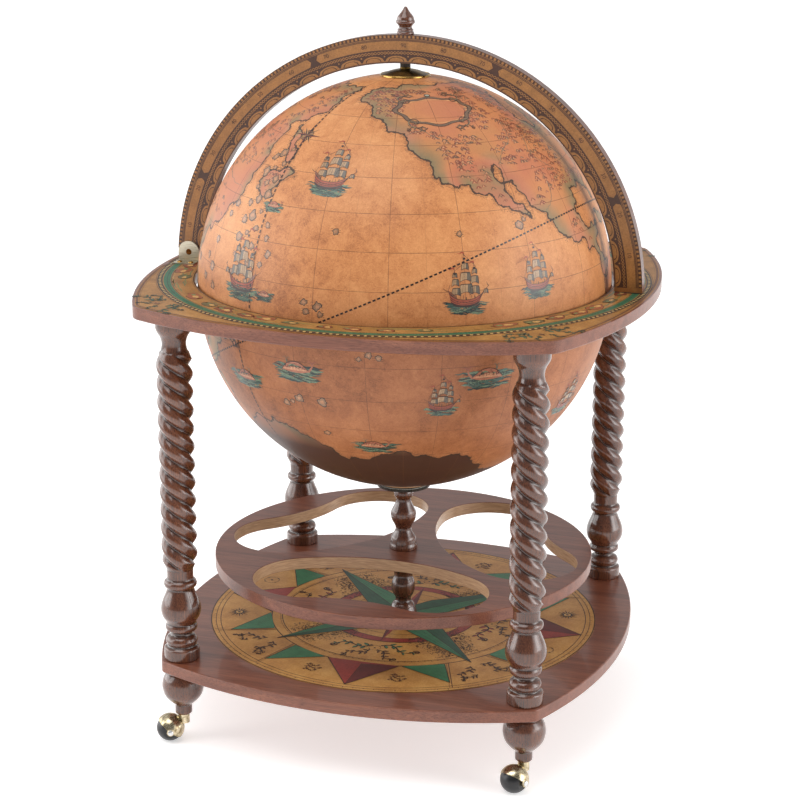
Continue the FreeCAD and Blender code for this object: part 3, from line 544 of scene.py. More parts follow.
def polarCap():
    # the spun cap in two pieces: a domed dark plate with a stepped hub, and a bright beaded line round its
    # edge
    low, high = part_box("polar_cap")
    globeR = capShape["globeRadius"]
    base = capShape["globeCentre"] + globeR
    edge = math.sqrt(globeR ** 2 - capShape["capRadius"] ** 2) - globeR
    outline = [(5.3, -0.6), (5.3, 10.2), (7.3, 10.2), (7.5, 9.8), (7.5, 8.6), (8.2, 7.8), (10.5, 7.2),
               (16, 6.1), (22, 4.4),
               (28, 2.2), (32.4, 0.6), (34.2, -0.4), (34.2, edge + 0.6), (30, -1.3), (20, -0.45),
               (5.3, 0.25)]
    plate = lathe("polarCapPlate", millimetres(outline), agedBrass, (0, 0, base / 1000), around=96,
                  step=0.0006)
    settle(plate, "lid", "brass", "polar_cap")
    rim = [(33.6, edge + 0.9), (33.7, edge + 2.6), (34.4, edge + 3.0), (35.2, edge + 2.7),
           (35.7, edge + 1.9), (35.9, edge + 1.0),
           (35.9, edge + 0.15), (33.6, edge + 0.35), (33.6, edge + 0.9)]
    settle(lathe("polarCapRim", millimetres(rim), polishedBrass, (0, 0, base / 1000), around=144,
                 step=0.0004), "lid", "brass")


polarCap()
print("metal and plastic pieces dressed")


globe = {"radius": 0.300, "centreZ": 0.650, "seam": 0.0005, "lidWall": 0.005, "bowlWall": 0.006,
         # the turns are how far each half's meridians stand round from +X, in degrees
         "lidTurn": 3.0, "bowlTurn": -3.0}

# Coasts as (longitude, latitude) in degrees round the lid, drawn in the loose way of an old sea chart.
lands = {
    "northAmerica": [
        (-104, 74), (-103, 70), (-101, 66.5), (-97, 64.5), (-90, 62.5), (-85, 60), (-81, 56), (-75, 53),
        (-70, 49.5),
        (-65, 45), (-63, 41), (-58.5, 37.5), (-54, 36.4), (-49, 35.6), (-45, 34), (-40, 31.5), (-35, 28.6),
        (-32.5, 28.2),
        (-34.5, 31.5), (-38, 35), (-41, 39), (-43, 42.5), (-42, 43.4), (-38.6, 39.5), (-35.5, 35.3),
        (-32, 31.4), (-28.5, 27.2),
        (-25, 23.8), (-22.5, 20.8), (-18, 18.8), (-11, 17.2), (-7.5, 15), (-4, 11), (-2.5, 7.8), (0, 6),
        (3, 7.6), (4, 9.6),
        (0.6, 10.4), (-2, 13), (-4.6, 16.4), (-2, 18), (-1, 21.6), (-5, 21.6), (-8.6, 20.4), (-11.2, 23),
        (-11.6, 27),
        (-10, 30.8), (-4, 32.2), (2, 31.6), (6, 29), (7.6, 25.6), (9, 27), (7, 31), (10, 35), (14, 38),
        (19, 42), (25, 45),
        (31, 47), (28, 50), (22, 51), (25, 53), (30, 55), (25, 59), (18, 62), (12, 60), (8, 56), (5, 52),
        (0, 53), (-4, 57),
        (-4, 62), (3, 66), (9, 68), (16, 67), (21, 70), (12, 74), (0, 77), (-22, 78), (-45, 78), (-70, 77),
        (-90, 76)],
    "southAmerica": [
        (1, 7), (-1.5, 3), (0.5, -2), (0, -5), (4, -11), (9, -18), (9, -30), (7, -40), (5, -48),
        (10, -54.5), (16, -52),
        (14, -46), (18, -41), (24, -37), (28, -34), (32, -28), (38, -23), (43, -18), (45, -11), (48, -7),
        (44, -3), (36, -1),
        (33, 2), (29, 5), (22, 8), (17, 11), (10, 12), (6, 9.6)],
    "oldWorld": [
        (80, 36.6), (85, 40), (90, 43.5), (94, 44), (98, 40), (101, 38), (100, 42), (98, 45), (104, 42),
        (107, 37), (109, 40),
        (112, 41.5), (120, 41), (121, 37), (121, 33), (119, 31), (115, 31), (110, 31), (105, 33), (96, 33),
        (95, 37),
        (87, 36.4), (80, 35.4), (74, 29), (68, 21), (67, 15), (72, 9), (78, 5), (90, 5), (95, 3), (94, -3),
        (98, -9),
        (97, -17), (100, -25), (103, -33), (110, -34), (117, -29), (120, -21), (125, -15), (124, -8),
        (126, -3), (133, 5),
        (137, 11), (129, 11), (124, 16), (120, 23), (117.6, 29), (119, 28), (124, 20), (129, 13), (137, 16),
        (145, 22),
        (141, 25), (135, 29), (134, 30.4), (139, 27), (147, 25), (153, 25), (158, 21), (161, 14),
        (164, 7.5), (168, 13),
        (172, 18), (180, 21.5), (187, 17), (191, 10), (196, 3), (198, 5), (195, 11), (198, 13), (202, 10),
        (207, 9),
        (209, 13), (210, 15.5), (212, 17.5), (219, 21), (223, 25), (226, 29), (228, 35), (228.6, 44),
        (227, 50), (225, 54.5),
        (233, 55.8), (236, 58), (239, 62.5), (245, 72), (235, 74.5), (220, 74), (200, 75), (180, 76),
        (160, 73), (145, 70),
        (125, 69), (112, 70.5), (98, 68), (92, 62), (97, 58), (103, 60), (106, 65), (109, 63), (105, 56),
        (96, 54.5),
        (88, 52), (83, 48.6), (84, 44), (76, 43.5), (76, 37.4)],
    "australia": [
        (211, -22), (214, -19), (220, -16), (224, -12), (228, -9), (229, -5), (224, -2), (217, -3),
        (214, -7), (216, -12), (211, -15), (206, -18),
        (202, -24), (205, -31), (213, -34), (222, -30), (222, -25), (217, -23)],
    "greenland": [(38, 60), (45, 64), (58, 68), (63, 73), (60, 79), (45, 81), (28, 78), (28, 72), (33, 66)],
    "japan": [(-125.6, 54), (-123.6, 51.6), (-120.6, 48), (-117.6, 46), (-118.6, 43.4), (-120.2, 43.2),
              (-121.4, 46), (-124, 48.6),
              (-126.8, 51.6), (-127.2, 54)],
    "easternIsland": [(-126.6, 39), (-122, 39.6), (-118.4, 38.4), (-117.6, 40.8), (-114.4, 41),
                      (-113.4, 38.6), (-115.6, 37), (-118, 37.4),
                      (-118.6, 34), (-121, 32.8), (-124.6, 33.2), (-126.6, 35)],
    "madagascar": [(128, -16), (134.6, -13), (134, -20), (130, -25), (128, -21)],
    "borneo": [(-160, 4), (-156, 7), (-152, 3), (-154, -3), (-159, -3)],
    "sumatra": [(180, 5), (184, 3), (190, -3), (193, -6), (188, -4.6), (182, 1)],
    "britain": [(80, 50.6), (86.4, 51), (84.6, 55), (82, 58.4), (79.4, 57), (81, 53.6)],
    "iceland": [(61, 64), (67, 63.6), (70, 65.4), (63, 66.4)],
    "newGuineaIsles": [(-136, -2), (-131, -3), (-126, -6.6), (-124, -9.6), (-128, -9), (-133, -6)],
    "cuba": [(0.4, 22.4), (5, 22.8), (11, 20.4), (8, 20), (3, 21.6)],
    "hispaniola": [(13, 19.6), (18, 19.2), (16, 17.8), (12, 18)],
}
southernCoast = [  # the great southern land: latitude of its coast against longitude
    (-180, -43), (-165, -45), (-155, -43.5), (-148.75, -41), (-140, -37.6), (-128.75, -33.8), (-122.5, -32),
    (-112.5, -32), (-105, -35), (-100, -39.6),
    (-95, -42.6), (-86, -43.8), (-82.5, -42), (-77.5, -39.4), (-65, -40.6), (-51, -42.5), (-45, -46),
    (-39, -51),
    (-32.5, -54), (-20, -57), (0, -60), (25, -60), (50, -55), (70, -50), (90, -48), (110, -52), (130, -48),
    (150, -42), (170, -40), (180, -43)]


def onSphere(lon, lat, lift=0.0):
    # degrees and a height above the paper: R (cos lat cos lon, cos lat sin lon, sin lat)
    radius = globe["radius"] + lift
    lon, lat = np.asarray(lon) * deg, np.asarray(lat) * deg
    return np.stack([radius * np.cos(lat) * np.cos(lon), radius * np.cos(lat) * np.sin(lon),
                     globe["centreZ"] + radius * np.sin(lat)], -1)


def raggedCoast(points, close, seed):
    # corners joined by quarter-degree steps, each pushed sideways by three octaves of smooth noise
    points = np.array(points, float)
    if close:
        points = np.vstack([points, points[:1]])
    length = np.hypot(np.diff(points[:, 0]) * np.cos(points[:-1, 1] * deg), np.diff(points[:, 1]))
    place = np.concatenate([[0], np.cumsum(length)])
    at = np.linspace(0, place[-1], int(place[-1] / 0.25) + 2)
    if close:
        at = at[:-1]
    lon, lat = np.interp(at, place, points[:, 0]), np.interp(at, place, points[:, 1])
    wobble = [sum(size * (smoothNoise(at / pace, at * 0 + 3.7 * k, seed + k) - 0.5) for k, (size, pace) in
                  enumerate(((2.6, 3.1), (1.5, 1.3), (0.9, 0.55)))) for seed in (seed, seed + 40)]
    return lon + wobble[0] / np.cos(lat * deg), lat + wobble[1]


def coastField(lon, lat):
    # signed distance in mm to the nearest coast, above 0 on land: the nearest coast point is the one with
    # the largest
    # dot product, refined to the two short runs beside it; the sign counts crossings of a line going south
    inside = np.zeros(lon.shape, bool)
    lines = []
    for index, points in enumerate(lands.values()):
        x, y = raggedCoast(points, True, index * 7 + 1)
        lines.append((x, y))
        x2, y2 = np.roll(x, -1), np.roll(y, -1)
        for shift in (-360, 0, 360):
            at = lon + shift
            near = (at > x.min()) & (at < x.max()) & (lat > y.min())
            if not near.any():
                continue
            a, b = at[near][:, None], lat[near][:, None]
            spans = (x[None] > a) != (x2[None] > a)
            rise = y[None] + (a - x[None]) * (y2 - y)[None] / np.where(x2 == x, 1e-9, x2 - x)[None]
            inside[near] ^= (np.count_nonzero(spans & (rise < b), axis=1) % 2).astype(bool)
    x, y = raggedCoast(southernCoast, False, 90)
    lines.append((x, y))
    order = np.argsort(x)
    inside |= lat < np.interp(lon, x[order], y[order])
    starts = np.concatenate([onSphere(x, y)[:-1] for x, y in lines]) - [0, 0, globe["centreZ"]]
    ends = np.concatenate([onSphere(x, y)[1:] for x, y in lines]) - [0, 0, globe["centreZ"]]
    spots = onSphere(lon, lat) - [0, 0, globe["centreZ"]]
    distance = np.empty(len(lon))
    for k in range(0, len(lon), 4000):
        part = spots[k:k + 4000]
        nearest = np.argmax(part @ starts.T, axis=1)
        best = np.full(len(part), 9.0)
        for step in (-1, 0):
            index = np.clip(nearest + step, 0, len(starts) - 1)
            a, run = starts[index], ends[index] - starts[index]
            t = np.clip(((part - a) * run).sum(1) / np.maximum((run ** 2).sum(1), 1e-12), 0, 1)[:, None]
            best = np.minimum(best, np.linalg.norm(part - a - run * t, axis=1))
        distance[k:k + 4000] = best
    return np.where(inside, 1, -1) * distance * 1000


# Printed gores on a moulded shell, under many coats of varnish: orange parchment, brown lines, hand-tinted
# coasts.
def mapPaper(name, turn, sea=("8E522E", "BE7B48", "D6965F")):
    made, tree, shader = newMaterial(name, roughness=0.5, coat=0.14, coatRoughness=0.3, ior=1.45)
    coords = add(tree, "TexCoord")
    middle = add(tree, "Mapping", {"Vector": coords.outputs["Object"],
                                   "Location": (0, 0, -globe["centreZ"])})
    split = add(tree, "SeparateXYZ", {0: middle})
    # parchment: broad stains, small clouds and a fine felted fibre
    broad = add(tree, "TexNoise", {"Vector": middle, "Scale": 7.0, "Detail": 5.0, "Roughness": 0.62})
    cloud = add(tree, "TexNoise", {"Vector": middle, "Scale": 46.0, "Detail": 6.0, "Roughness": 0.7,
                                   "Distortion": 0.6})
    fibre = add(tree, "TexNoise", {"Vector": middle, "Scale": 330.0, "Detail": 3.0, "Roughness": 0.7,
                                   "Distortion": 1.4})
    mottle = add(tree, "Math", {0: add(tree, "Math", {0: broad, 1: 0.36}, operation="MULTIPLY"),
                                1: add(tree, "Math", {0: cloud, 1: 0.32}, operation="MULTIPLY")},
                                operation="ADD")
    mottle = add(tree, "Math", {0: mottle, 1: add(tree, "Math", {0: fibre, 1: 0.32}, operation="MULTIPLY")},
                 operation="ADD")
    paper = add(tree, "ValToRGB", {"Fac": mottle}, stops=[(0.37, sea[0]), (0.48, sea[1]), (0.62, sea[2])])
    # coast: a wandering edge, the tinted band inside it and the hatching outside it
    coast = add(tree, "Attribute", attribute_name="coastMm")
    wander = add(tree, "TexNoise", {"Vector": middle, "Scale": 150.0, "Detail": 4.0, "Roughness": 0.65})
    shore = add(tree, "MapRange", {"Value": wander, "To Min": -3.4, "To Max": 3.4})
    edge = add(tree, "Math", {0: coast.outputs["Fac"], 1: shore.outputs["Result"]}, operation="ADD")
    onLand = add(tree, "Math", {0: edge, 1: 0.0}, operation="GREATER_THAN")
    region = add(tree, "TexNoise", {"Vector": middle, "Scale": 9.0, "Detail": 1.0, "Distortion": 0.7})
    tint = add(tree, "ValToRGB", {"Fac": region},
               stops=[(0.30, "6E6A4E"), (0.44, "777055"), (0.52, "B0745A"), (0.62, "AA6850"),
                      (0.72, "747050")])
    inner = add(tree, "ValToRGB", {"Fac": region},
                stops=[(0.32, "AE7A4C"), (0.5, "BE7A4E"), (0.66, "B46A4E")])
    depth = add(tree, "MapRange", {"Value": edge, "From Min": 2.0, "From Max": 24.0})
    land = add(tree, "Mix", {0: depth.outputs["Result"], 6: tint.outputs["Color"],
                             7: inner.outputs["Color"]}, data_type="RGBA")
    landInk = add(tree, "Mix", {0: 0.82, 6: paper.outputs["Color"], 7: land.outputs[2]}, data_type="RGBA")
    ground = add(tree, "Mix", {0: onLand, 6: paper.outputs["Color"], 7: landInk.outputs[2]},
                 data_type="RGBA")
    # the far south is washed darker
    south = add(tree, "MapRange", {"Value": split.outputs["Z"], "From Min": -0.150, "From Max": -0.195})
    southLand = add(tree, "Math", {0: south.outputs["Result"], 1: onLand}, operation="MULTIPLY")
    washed = add(tree, "Mix", {0: southLand, 6: ground.outputs[2], 7: hexColour("46281A")},
                 data_type="RGBA")
    # graticule: each 10 degrees of latitude and 20 of longitude, drawn 0.5 to 1 mm wide; gore
    # seams half way between
    flat = add(tree, "VectorMath", {0: middle, 1: (1, 1, 0)}, operation="MULTIPLY")
    ring = add(tree, "VectorMath", {0: flat}, operation="LENGTH")
    latitude = add(tree, "Math", {0: split.outputs["Z"], 1: ring.outputs["Value"]}, operation="ARCTAN2")
    parallel = add(tree, "Math", {0: latitude, 1: 10 * deg}, operation="DIVIDE")
    parallel = add(tree, "Math", {0: parallel, 1: add(tree, "Math", {0: parallel}, operation="ROUND")},
                   operation="SUBTRACT")
    parallelMm = add(tree, "Math", {0: add(tree, "Math", {0: parallel}, operation="ABSOLUTE"),
                                    1: 10 * deg * globe["radius"] * 1000}, operation="MULTIPLY")
    longitude = add(tree, "Math", {0: split.outputs["Y"], 1: split.outputs["X"]}, operation="ARCTAN2")
    meridian = add(tree, "Math", {0: add(tree, "Math", {0: longitude, 1: turn * deg}, operation="SUBTRACT"),
                                  1: 20 * deg}, operation="DIVIDE")
    fromLine = add(tree, "Math", {0: meridian, 1: add(tree, "Math", {0: meridian}, operation="ROUND")},
                   operation="SUBTRACT")
    fromLine = add(tree, "Math", {0: fromLine}, operation="ABSOLUTE")
    across = add(tree, "Math", {0: ring.outputs["Value"], 1: 20 * deg * 1000}, operation="MULTIPLY")
    meridianMm = add(tree, "Math", {0: fromLine, 1: across}, operation="MULTIPLY")
    seamMm = add(tree, "Math", {0: add(tree, "Math", {0: 0.5, 1: fromLine}, operation="SUBTRACT"),
                                1: across},
                 operation="MULTIPLY")
    lineMm = add(tree, "Math", {0: parallelMm, 1: meridianMm}, operation="MINIMUM")
    fade = add(tree, "TexNoise", {"Vector": middle, "Scale": 60.0, "Detail": 3.0})
    weight = add(tree, "MapRange", {"Value": fade, "From Min": 0.3, "From Max": 0.6, "To Min": 0.25,
                                    "To Max": 0.5})
    drawn = add(tree, "Math", {0: lineMm, 1: weight.outputs["Result"]}, operation="LESS_THAN")
    drawn = add(tree, "Math", {0: drawn, 1: 0.62}, operation="MULTIPLY")
    lined = add(tree, "Mix", {0: drawn, 6: washed.outputs[2], 7: hexColour("5A3620")}, data_type="RGBA")
    seam = add(tree, "Math", {0: add(tree, "Math", {0: seamMm, 1: 0.35}, operation="LESS_THAN"), 1: 0.28},
               operation="MULTIPLY")
    seamed = add(tree, "Mix", {0: seam, 6: lined.outputs[2], 7: hexColour("8E5C36")}, data_type="RGBA")
    # coast line and sea hatching
    fromShore = add(tree, "Math", {0: edge}, operation="ABSOLUTE")
    penned = add(tree, "Math", {0: fromShore, 1: 1.15}, operation="LESS_THAN")
    strokes = add(tree, "Math", {0: add(tree, "Math", {0: split.outputs["Z"], 1: 620.0},
                                        operation="MULTIPLY")}, operation="FRACT")
    strokes = add(tree, "Math", {0: strokes, 1: 0.45}, operation="LESS_THAN")
    reach = add(tree, "MapRange", {"Value": add(tree, "TexNoise",
                                                {"Vector": middle, "Scale": 420.0, "Detail": 0.0}),
                                   "From Min": 0.3, "From Max": 0.7, "To Min": -1.6, "To Max": -6.4})
    offShore = add(tree, "Math", {0: add(tree, "Math", {0: edge, 1: 0.0}, operation="LESS_THAN"),
                                  1: add(tree, "Math", {0: edge, 1: reach.outputs["Result"]},
                                         operation="GREATER_THAN")},
                   operation="MULTIPLY")
    hatch = add(tree, "Math", {0: add(tree, "Math", {0: offShore, 1: strokes}, operation="MULTIPLY"),
                               1: 0.62},
                operation="MULTIPLY")
    hatched = add(tree, "Mix", {0: hatch, 6: seamed.outputs[2], 7: hexColour("3C2C22")}, data_type="RGBA")
    inked = add(tree, "Mix", {0: add(tree, "Math", {0: penned, 1: 0.9}, operation="MULTIPLY"),
                              6: hatched.outputs[2],
                              7: hexColour("2E211C")}, data_type="RGBA")
    tree.links.new(inked.outputs[2], shader.inputs["Base Color"])
    add(tree, "Bump", {"Height": cloud.outputs["Fac"], "Distance": 0.12 * mm, "Strength": 0.25},
        into=shader.inputs["Normal"])
    return made


# The inside of the halves: spun fibreboard, painted and rubbed with a brown glaze.
def shellLining():
    made, tree, shader = newMaterial("shellLiningGlaze", roughness=0.5, coat=0.1, coatRoughness=0.2)
    coords = add(tree, "TexCoord")
    glaze = add(tree, "TexNoise", {"Vector": coords.outputs["Object"], "Scale": 24.0, "Detail": 6.0,
                                   "Roughness": 0.65})
    colour = add(tree, "ValToRGB", {"Fac": glaze},
                 stops=[(0.3, "7A4A2A"), (0.5, "93603A"), (0.72, "AD7A4E")])
    grit = add(tree, "TexNoise", {"Vector": coords.outputs["Object"], "Scale": 500.0, "Detail": 2.0})
    tree.links.new(colour.outputs["Color"], shader.inputs["Base Color"])
    add(tree, "Bump", {"Height": grit.outputs["Fac"], "Distance": 0.06 * mm, "Strength": 0.4},
        into=shader.inputs["Normal"])
    return made


def globeHalf(name, body, node, sign, wall, bore, material, lining, turnBy):
    # a profile of (radius, height) carried round Z: out along the sphere from pole to seam, and back along
    # the inside
    radius = globe["radius"]
    first = math.asin(max(bore, 1e-5) / radius)
    last = math.acos(globe["seam"] / radius)
    polar = np.concatenate([first + np.array([0, 0.15, 0.4, 0.7]) * deg,
                            np.linspace(first + deg, last, 120)])
    inner = radius - wall
    polarIn = np.linspace(math.acos(globe["seam"] / inner), math.asin(max(bore, 1e-5) / inner), 46)
    r = np.concatenate([radius * np.sin(polar), inner * np.sin(polarIn)])
    z = np.concatenate([radius * np.cos(polar), inner * np.cos(polarIn)]) * sign
    around = 480
    angle = np.linspace(0, 2 * np.pi, around, endpoint=False)
    points = np.stack([r[:, None] * np.cos(angle), r[:, None] * np.sin(angle),
                       np.repeat(z[:, None], around, 1) + globe["centreZ"]], -1)
    half = meshFromGrid(name, points, material, closeAround=True, closeAlong=bore > 0, flip=sign > 0)
    half.data.materials.append(lining)
    outer = len(polar)
    rows = np.repeat(np.arange(len(half.data.polygons) // around), around)
    half.data.polygons.foreach_set("material_index", (rows >= outer - 1).astype(np.int32))
    lon = np.tile(angle / deg, len(r))
    lon = (lon - turnBy + 180) % 360 - 180
    lat = np.repeat(np.arctan2(z, r) / deg, around)
    values = np.full(len(lon), -60.0)
    outside = np.arange(len(lon)) < outer * around
    values[outside] = np.clip(coastField(lon[outside], lat[outside]), -60, 60)
    addValues(half, "coastMm", values)
    half.data.set_sharp_from_angle(angle=40 * deg)
    return settle(half, body, "globe_map", node)


lining = shellLining()
lidPaper = mapPaper("mapPaperLid", globe["lidTurn"])
# the bowl uses a darker copy of the lid's map paper: painted shade for the horizon board's shadow over the
# lower half
bowlPaperPaintedShade = mapPaper("mapPaperBowlPaintedShade", globe["bowlTurn"], ("744324", "9C5E36", "B5764A"))
globeHalf("globeLid", "lid", "lid_shell", 1, globe["lidWall"], 0.009, lidPaper, lining, 0.0)
globeHalf("globeBowl", "bowl", "bowl_shell", -1, globe["bowlWall"], 0.0, bowlPaperPaintedShade, lining, 0.0)
print("globe halves mapped")


# A figure is a list of bands: (lower edge, upper edge, colour, layer), each edge an n x 2 array in mm.
def band(lower, upper, colour, layer=0):
    return np.asarray(lower, float), np.asarray(upper, float), colour, layer


def resample(points, count):
    points = np.asarray(points, float)
    place = np.concatenate([[0], np.cumsum(np.hypot(*np.diff(points, axis=0).T))])
    at = np.linspace(0, place[-1], count)
    return np.stack([np.interp(at, place, points[:, 0]), np.interp(at, place, points[:, 1])], -1)


def filled(lower, upper, colour, layer=0, count=14):  # the area between two smooth edges
    return band(resample(smoothProfile(lower, 0.8), count), resample(smoothProfile(upper, 0.8), count),
                colour, layer)


def stroke(points, width, colour, layer=0, taper=(1, 1), count=None):
    # a line of changing width: each point moved half the width to both sides of the path
    path = smoothProfile(points, 1.2) if len(points) > 2 else np.asarray(points, float)
    if count:
        path = resample(path, count)
    run = np.gradient(path, axis=0)
    run /= np.maximum(np.hypot(run[:, 0], run[:, 1]), 1e-9)[:, None]
    side = np.stack([-run[:, 1], run[:, 0]], -1)
    t = np.linspace(0, 1, len(path))
    half = width / 2 * (taper[0] * (1 - t) + taper[1] * t)
    if taper[0] < 1 and taper[1] < 1:
        half = width / 2 * (np.minimum(1, taper[0] + 4 * t) * np.minimum(1, taper[1] + 4 * (1 - t)))
    return band(path - side * half[:, None], path + side * half[:, None], colour, layer)


def ellipse(x, y, across, high, colour, layer=0, turn=0.0, count=9):
    t = np.linspace(0, np.pi, count)
    low = np.stack([-np.cos(t) * across / 2, -np.sin(t) * high / 2], -1)
    spin = np.array([[math.cos(turn), math.sin(turn)], [-math.sin(turn), math.cos(turn)]])
    return band(low @ spin + (x, y), (low * (1, -1)) @ spin + (x, y), colour, layer)


def blob(x, y, size, colour, layer=0, seed=0, flat=1.0, count=15):
    # a closed wavy outline: radius 1 + 0.35 noise round the centre, cut into its lower and upper halves
    t = np.linspace(0, np.pi, count)
    low = size * (0.72 + 0.6 * smoothNoise(t * 2.2, t * 0 + seed, 3))
    high = size * (0.72 + 0.6 * smoothNoise(t * 2.2, t * 0 + seed + 9, 4))
    low[0] = high[0] = (low[0] + high[0]) / 2
    low[-1] = high[-1] = (low[-1] + high[-1]) / 2
    return band(np.stack([x - low * np.cos(t), y - low * np.sin(t) * flat], -1),
                np.stack([x - high * np.cos(t), y + high * np.sin(t) * flat], -1), colour, layer)


def moveBands(bands, x=0.0, y=0.0, turn=0.0, size=1.0, mirror=False):
    spin = np.array([[math.cos(turn), math.sin(turn)], [-math.sin(turn), math.cos(turn)]])
    flip = np.array([-1.0 if mirror else 1.0, 1.0])
    return [((lower * flip * size) @ spin + (x, y), (upper * flip * size) @ spin + (x, y), colour, layer)
            for lower, upper, colour, layer in bands]


def arcBand(r0, r1, a0, a1, colour, layer=0, stepDeg=2.0):
    t = np.linspace(a0, a1, max(2, int(abs(a1 - a0) / stepDeg) + 1)) * deg
    ring = np.stack([np.cos(t), np.sin(t)], -1)
    return band(ring * r0, ring * r1, colour, layer)


def polar(r, a):
    return (r * math.cos(a * deg), r * math.sin(a * deg))


# Printer's ink under varnish: the colour comes with each stroke, broken a little by the paper's tooth.
def printersInk(name, roughness=0.42, coat=0.35):
    made, tree, shader = newMaterial(name, roughness=roughness, coat=coat, coatRoughness=0.16, ior=1.48)
    tint = add(tree, "Attribute", attribute_name="inkTint")
    coords = add(tree, "TexCoord")
    tooth = add(tree, "TexNoise", {"Vector": coords.outputs["Object"], "Scale": 420.0, "Detail": 4.0,
                                   "Roughness": 0.7})
    wash = add(tree, "TexNoise", {"Vector": coords.outputs["Object"], "Scale": 75.0, "Detail": 2.0})
    shade = add(tree, "MapRange", {"Value": tooth.outputs["Fac"], "From Min": 0.3, "From Max": 0.7,
                                   "To Min": 0.72, "To Max": 1.22})
    pool = add(tree, "MapRange", {"Value": wash.outputs["Fac"], "From Min": 0.3, "From Max": 0.7,
                                  "To Min": 0.85, "To Max": 1.12})
    both = add(tree, "Math", {0: shade, 1: pool}, operation="MULTIPLY")
    colour = add(tree, "VectorMath", {0: tint.outputs["Color"], "Scale": both}, operation="SCALE")
    tree.links.new(colour.outputs["Vector"], shader.inputs["Base Color"])
    add(tree, "Bump", {"Height": tooth.outputs["Fac"], "Distance": 0.03 * mm, "Strength": 0.2},
        into=shader.inputs["Normal"])
    return made


def inkMesh(name, bands, place, material, body, slot):
    # all bands as one mesh: two rows of points each, with a face between neighbours
    points, faces, tints, start = [], [], [], 0
    for lower, upper, colour, layer in bands:
        n = len(lower)
        points.append(place(np.concatenate([lower, upper]), layer))
        k = np.arange(n - 1)
        quads = np.stack([k, k + 1, n + k + 1, n + k], -1) + start
        faces.append(quads)
        tints.append(np.tile(hexColour(colour), (2 * n, 1)))
        start += 2 * n
    points, faces, tints = np.concatenate(points), np.concatenate(faces), np.concatenate(tints)
    a, b, c, d = (points[faces[:, k]] for k in range(4))
    normal = np.cross(c - a, d - b)
    middle = (a + b + c + d) / 4
    away = outwardAt(middle, place)
    wrong = (normal * away).sum(1) < 0
    faces[wrong] = faces[wrong][:, ::-1]
    piece = meshFromQuads(name, points, faces, material, smooth=False)
    if len(piece.data.vertices) == len(tints):
        layer = piece.data.color_attributes.new("inkTint", "FLOAT_COLOR", "POINT")
        layer.data.foreach_set("color", np.ascontiguousarray(tints, np.float32).ravel())
    return settle(piece, body, slot)


def outwardAt(points, place):
    if place.kind == "sphere":
        return points - [0, 0, globe["centreZ"]]
    return np.tile(place.normal, (len(points), 1))


class FlatPlace:  # mm in a plane: origin + x along + y up, lifted a little with each layer
    kind = "flat"

    def __init__(self, origin, along, up, lift=0.00006):
        self.origin, self.along, self.up = np.array(origin), np.array(along), np.array(up)
        self.normal, self.lift = np.cross(along, up), lift

    def __call__(self, spots, layer):
        return (self.origin + spots[:, :1] / 1000 * self.along + spots[:, 1:] / 1000 * self.up
                + self.normal * self.lift * (layer + 1))


class SpherePlace:  # mm round a point of the globe: longitude by x / (R cos lat), latitude by y / R
    kind = "sphere"

    def __init__(self, lift=0.00007):
        self.lift = lift

    def __call__(self, spots, layer):
        return onSphere(spots[:, 0], spots[:, 1], self.lift * (layer + 1))


mmPerDegree = globe["radius"] * 1000 * deg


def onChart(bands, lon, lat):  # from mm round a point to degrees
    out = []
    for lower, upper, colour, layer in bands:
        pair = []
        for edge in (lower, upper):
            y = lat + edge[:, 1] / mmPerDegree
            pair.append(np.stack([lon + edge[:, 0] / mmPerDegree / np.cos(y * deg), y], -1))
        out.append((pair[0], pair[1], colour, layer))
    return out


seaTones = ("3A5248", "4E6658", "26362F", "1A2523", "6A7C60")


def seaPatch(wide, deep, seed, top=0.0, count=30):
    # short wind-blown waves: lens strokes in rows, fewer and paler towards the patch's rim
    bands = []
    for k in range(count):
        row = hashNoise(k, 1, seed)
        x = (hashNoise(k, 2, seed) - 0.5) * wide * (1 - 0.45 * row)
        y = top - row * deep
        reach = wide * (0.10 + 0.10 * hashNoise(k, 3, seed))
        tilt = (hashNoise(k, 4, seed) - 0.5) * 2.2
        tone = seaTones[int(hashNoise(k, 5, seed) * 4.99)]
        bands.append(stroke([(x - reach, y - tilt), (x - reach * 0.3, y + 1.0), (x + reach * 0.3, y - 0.8),
                             (x + reach, y + tilt)],
                            1.1 + 1.5 * hashNoise(k, 6, seed), tone, 1 + k % 3, (0.1, 0.1), 7))
    return bands


def sail(x, y, half, high, lean=0.0):
    top, bottom = y + high / 2, y - high / 2
    upper = [(x - half * 0.8 + lean, top), (x + lean, top + 0.6), (x + half * 0.8 + lean, top)]
    lower = [(x - half, bottom), (x, bottom + high * 0.26), (x + half, bottom)]
    cloth = [filled(lower, upper, "A98763", 5, 9)]
    cut = [(x + half * 0.25, bottom + high * 0.2), (x + half * 0.6, bottom + high * 0.09),
           (x + half, bottom)]
    shade = [(x + half * 0.25 + lean, top + 0.4), (x + half * 0.5 + lean, top + 0.2),
             (x + half * 0.8 + lean, top)]
    cloth.append(filled(cut, shade, "5F5548", 6, 5))
    cloth.append(stroke(upper, 1.0, "2A1F1B", 7, count=4))
    cloth.append(stroke(lower, 0.6, "3A2B24", 7, count=6))
    cloth.append(stroke([lower[0], (x - half * 0.95 + lean / 2, y), upper[0]], 0.5, "3A2B24", 7, count=4))
    cloth.append(stroke([lower[2], (x + half * 0.97 + lean / 2, y), upper[2]], 0.6, "2A1F1B", 7, count=4))
    for share in (-0.5, -0.15):
        cloth.append(stroke([(x + half * share, bottom + high * 0.2),
                             (x + half * share * 0.85 + lean, top)], 0.4, "6B4D38", 7))
    return cloth


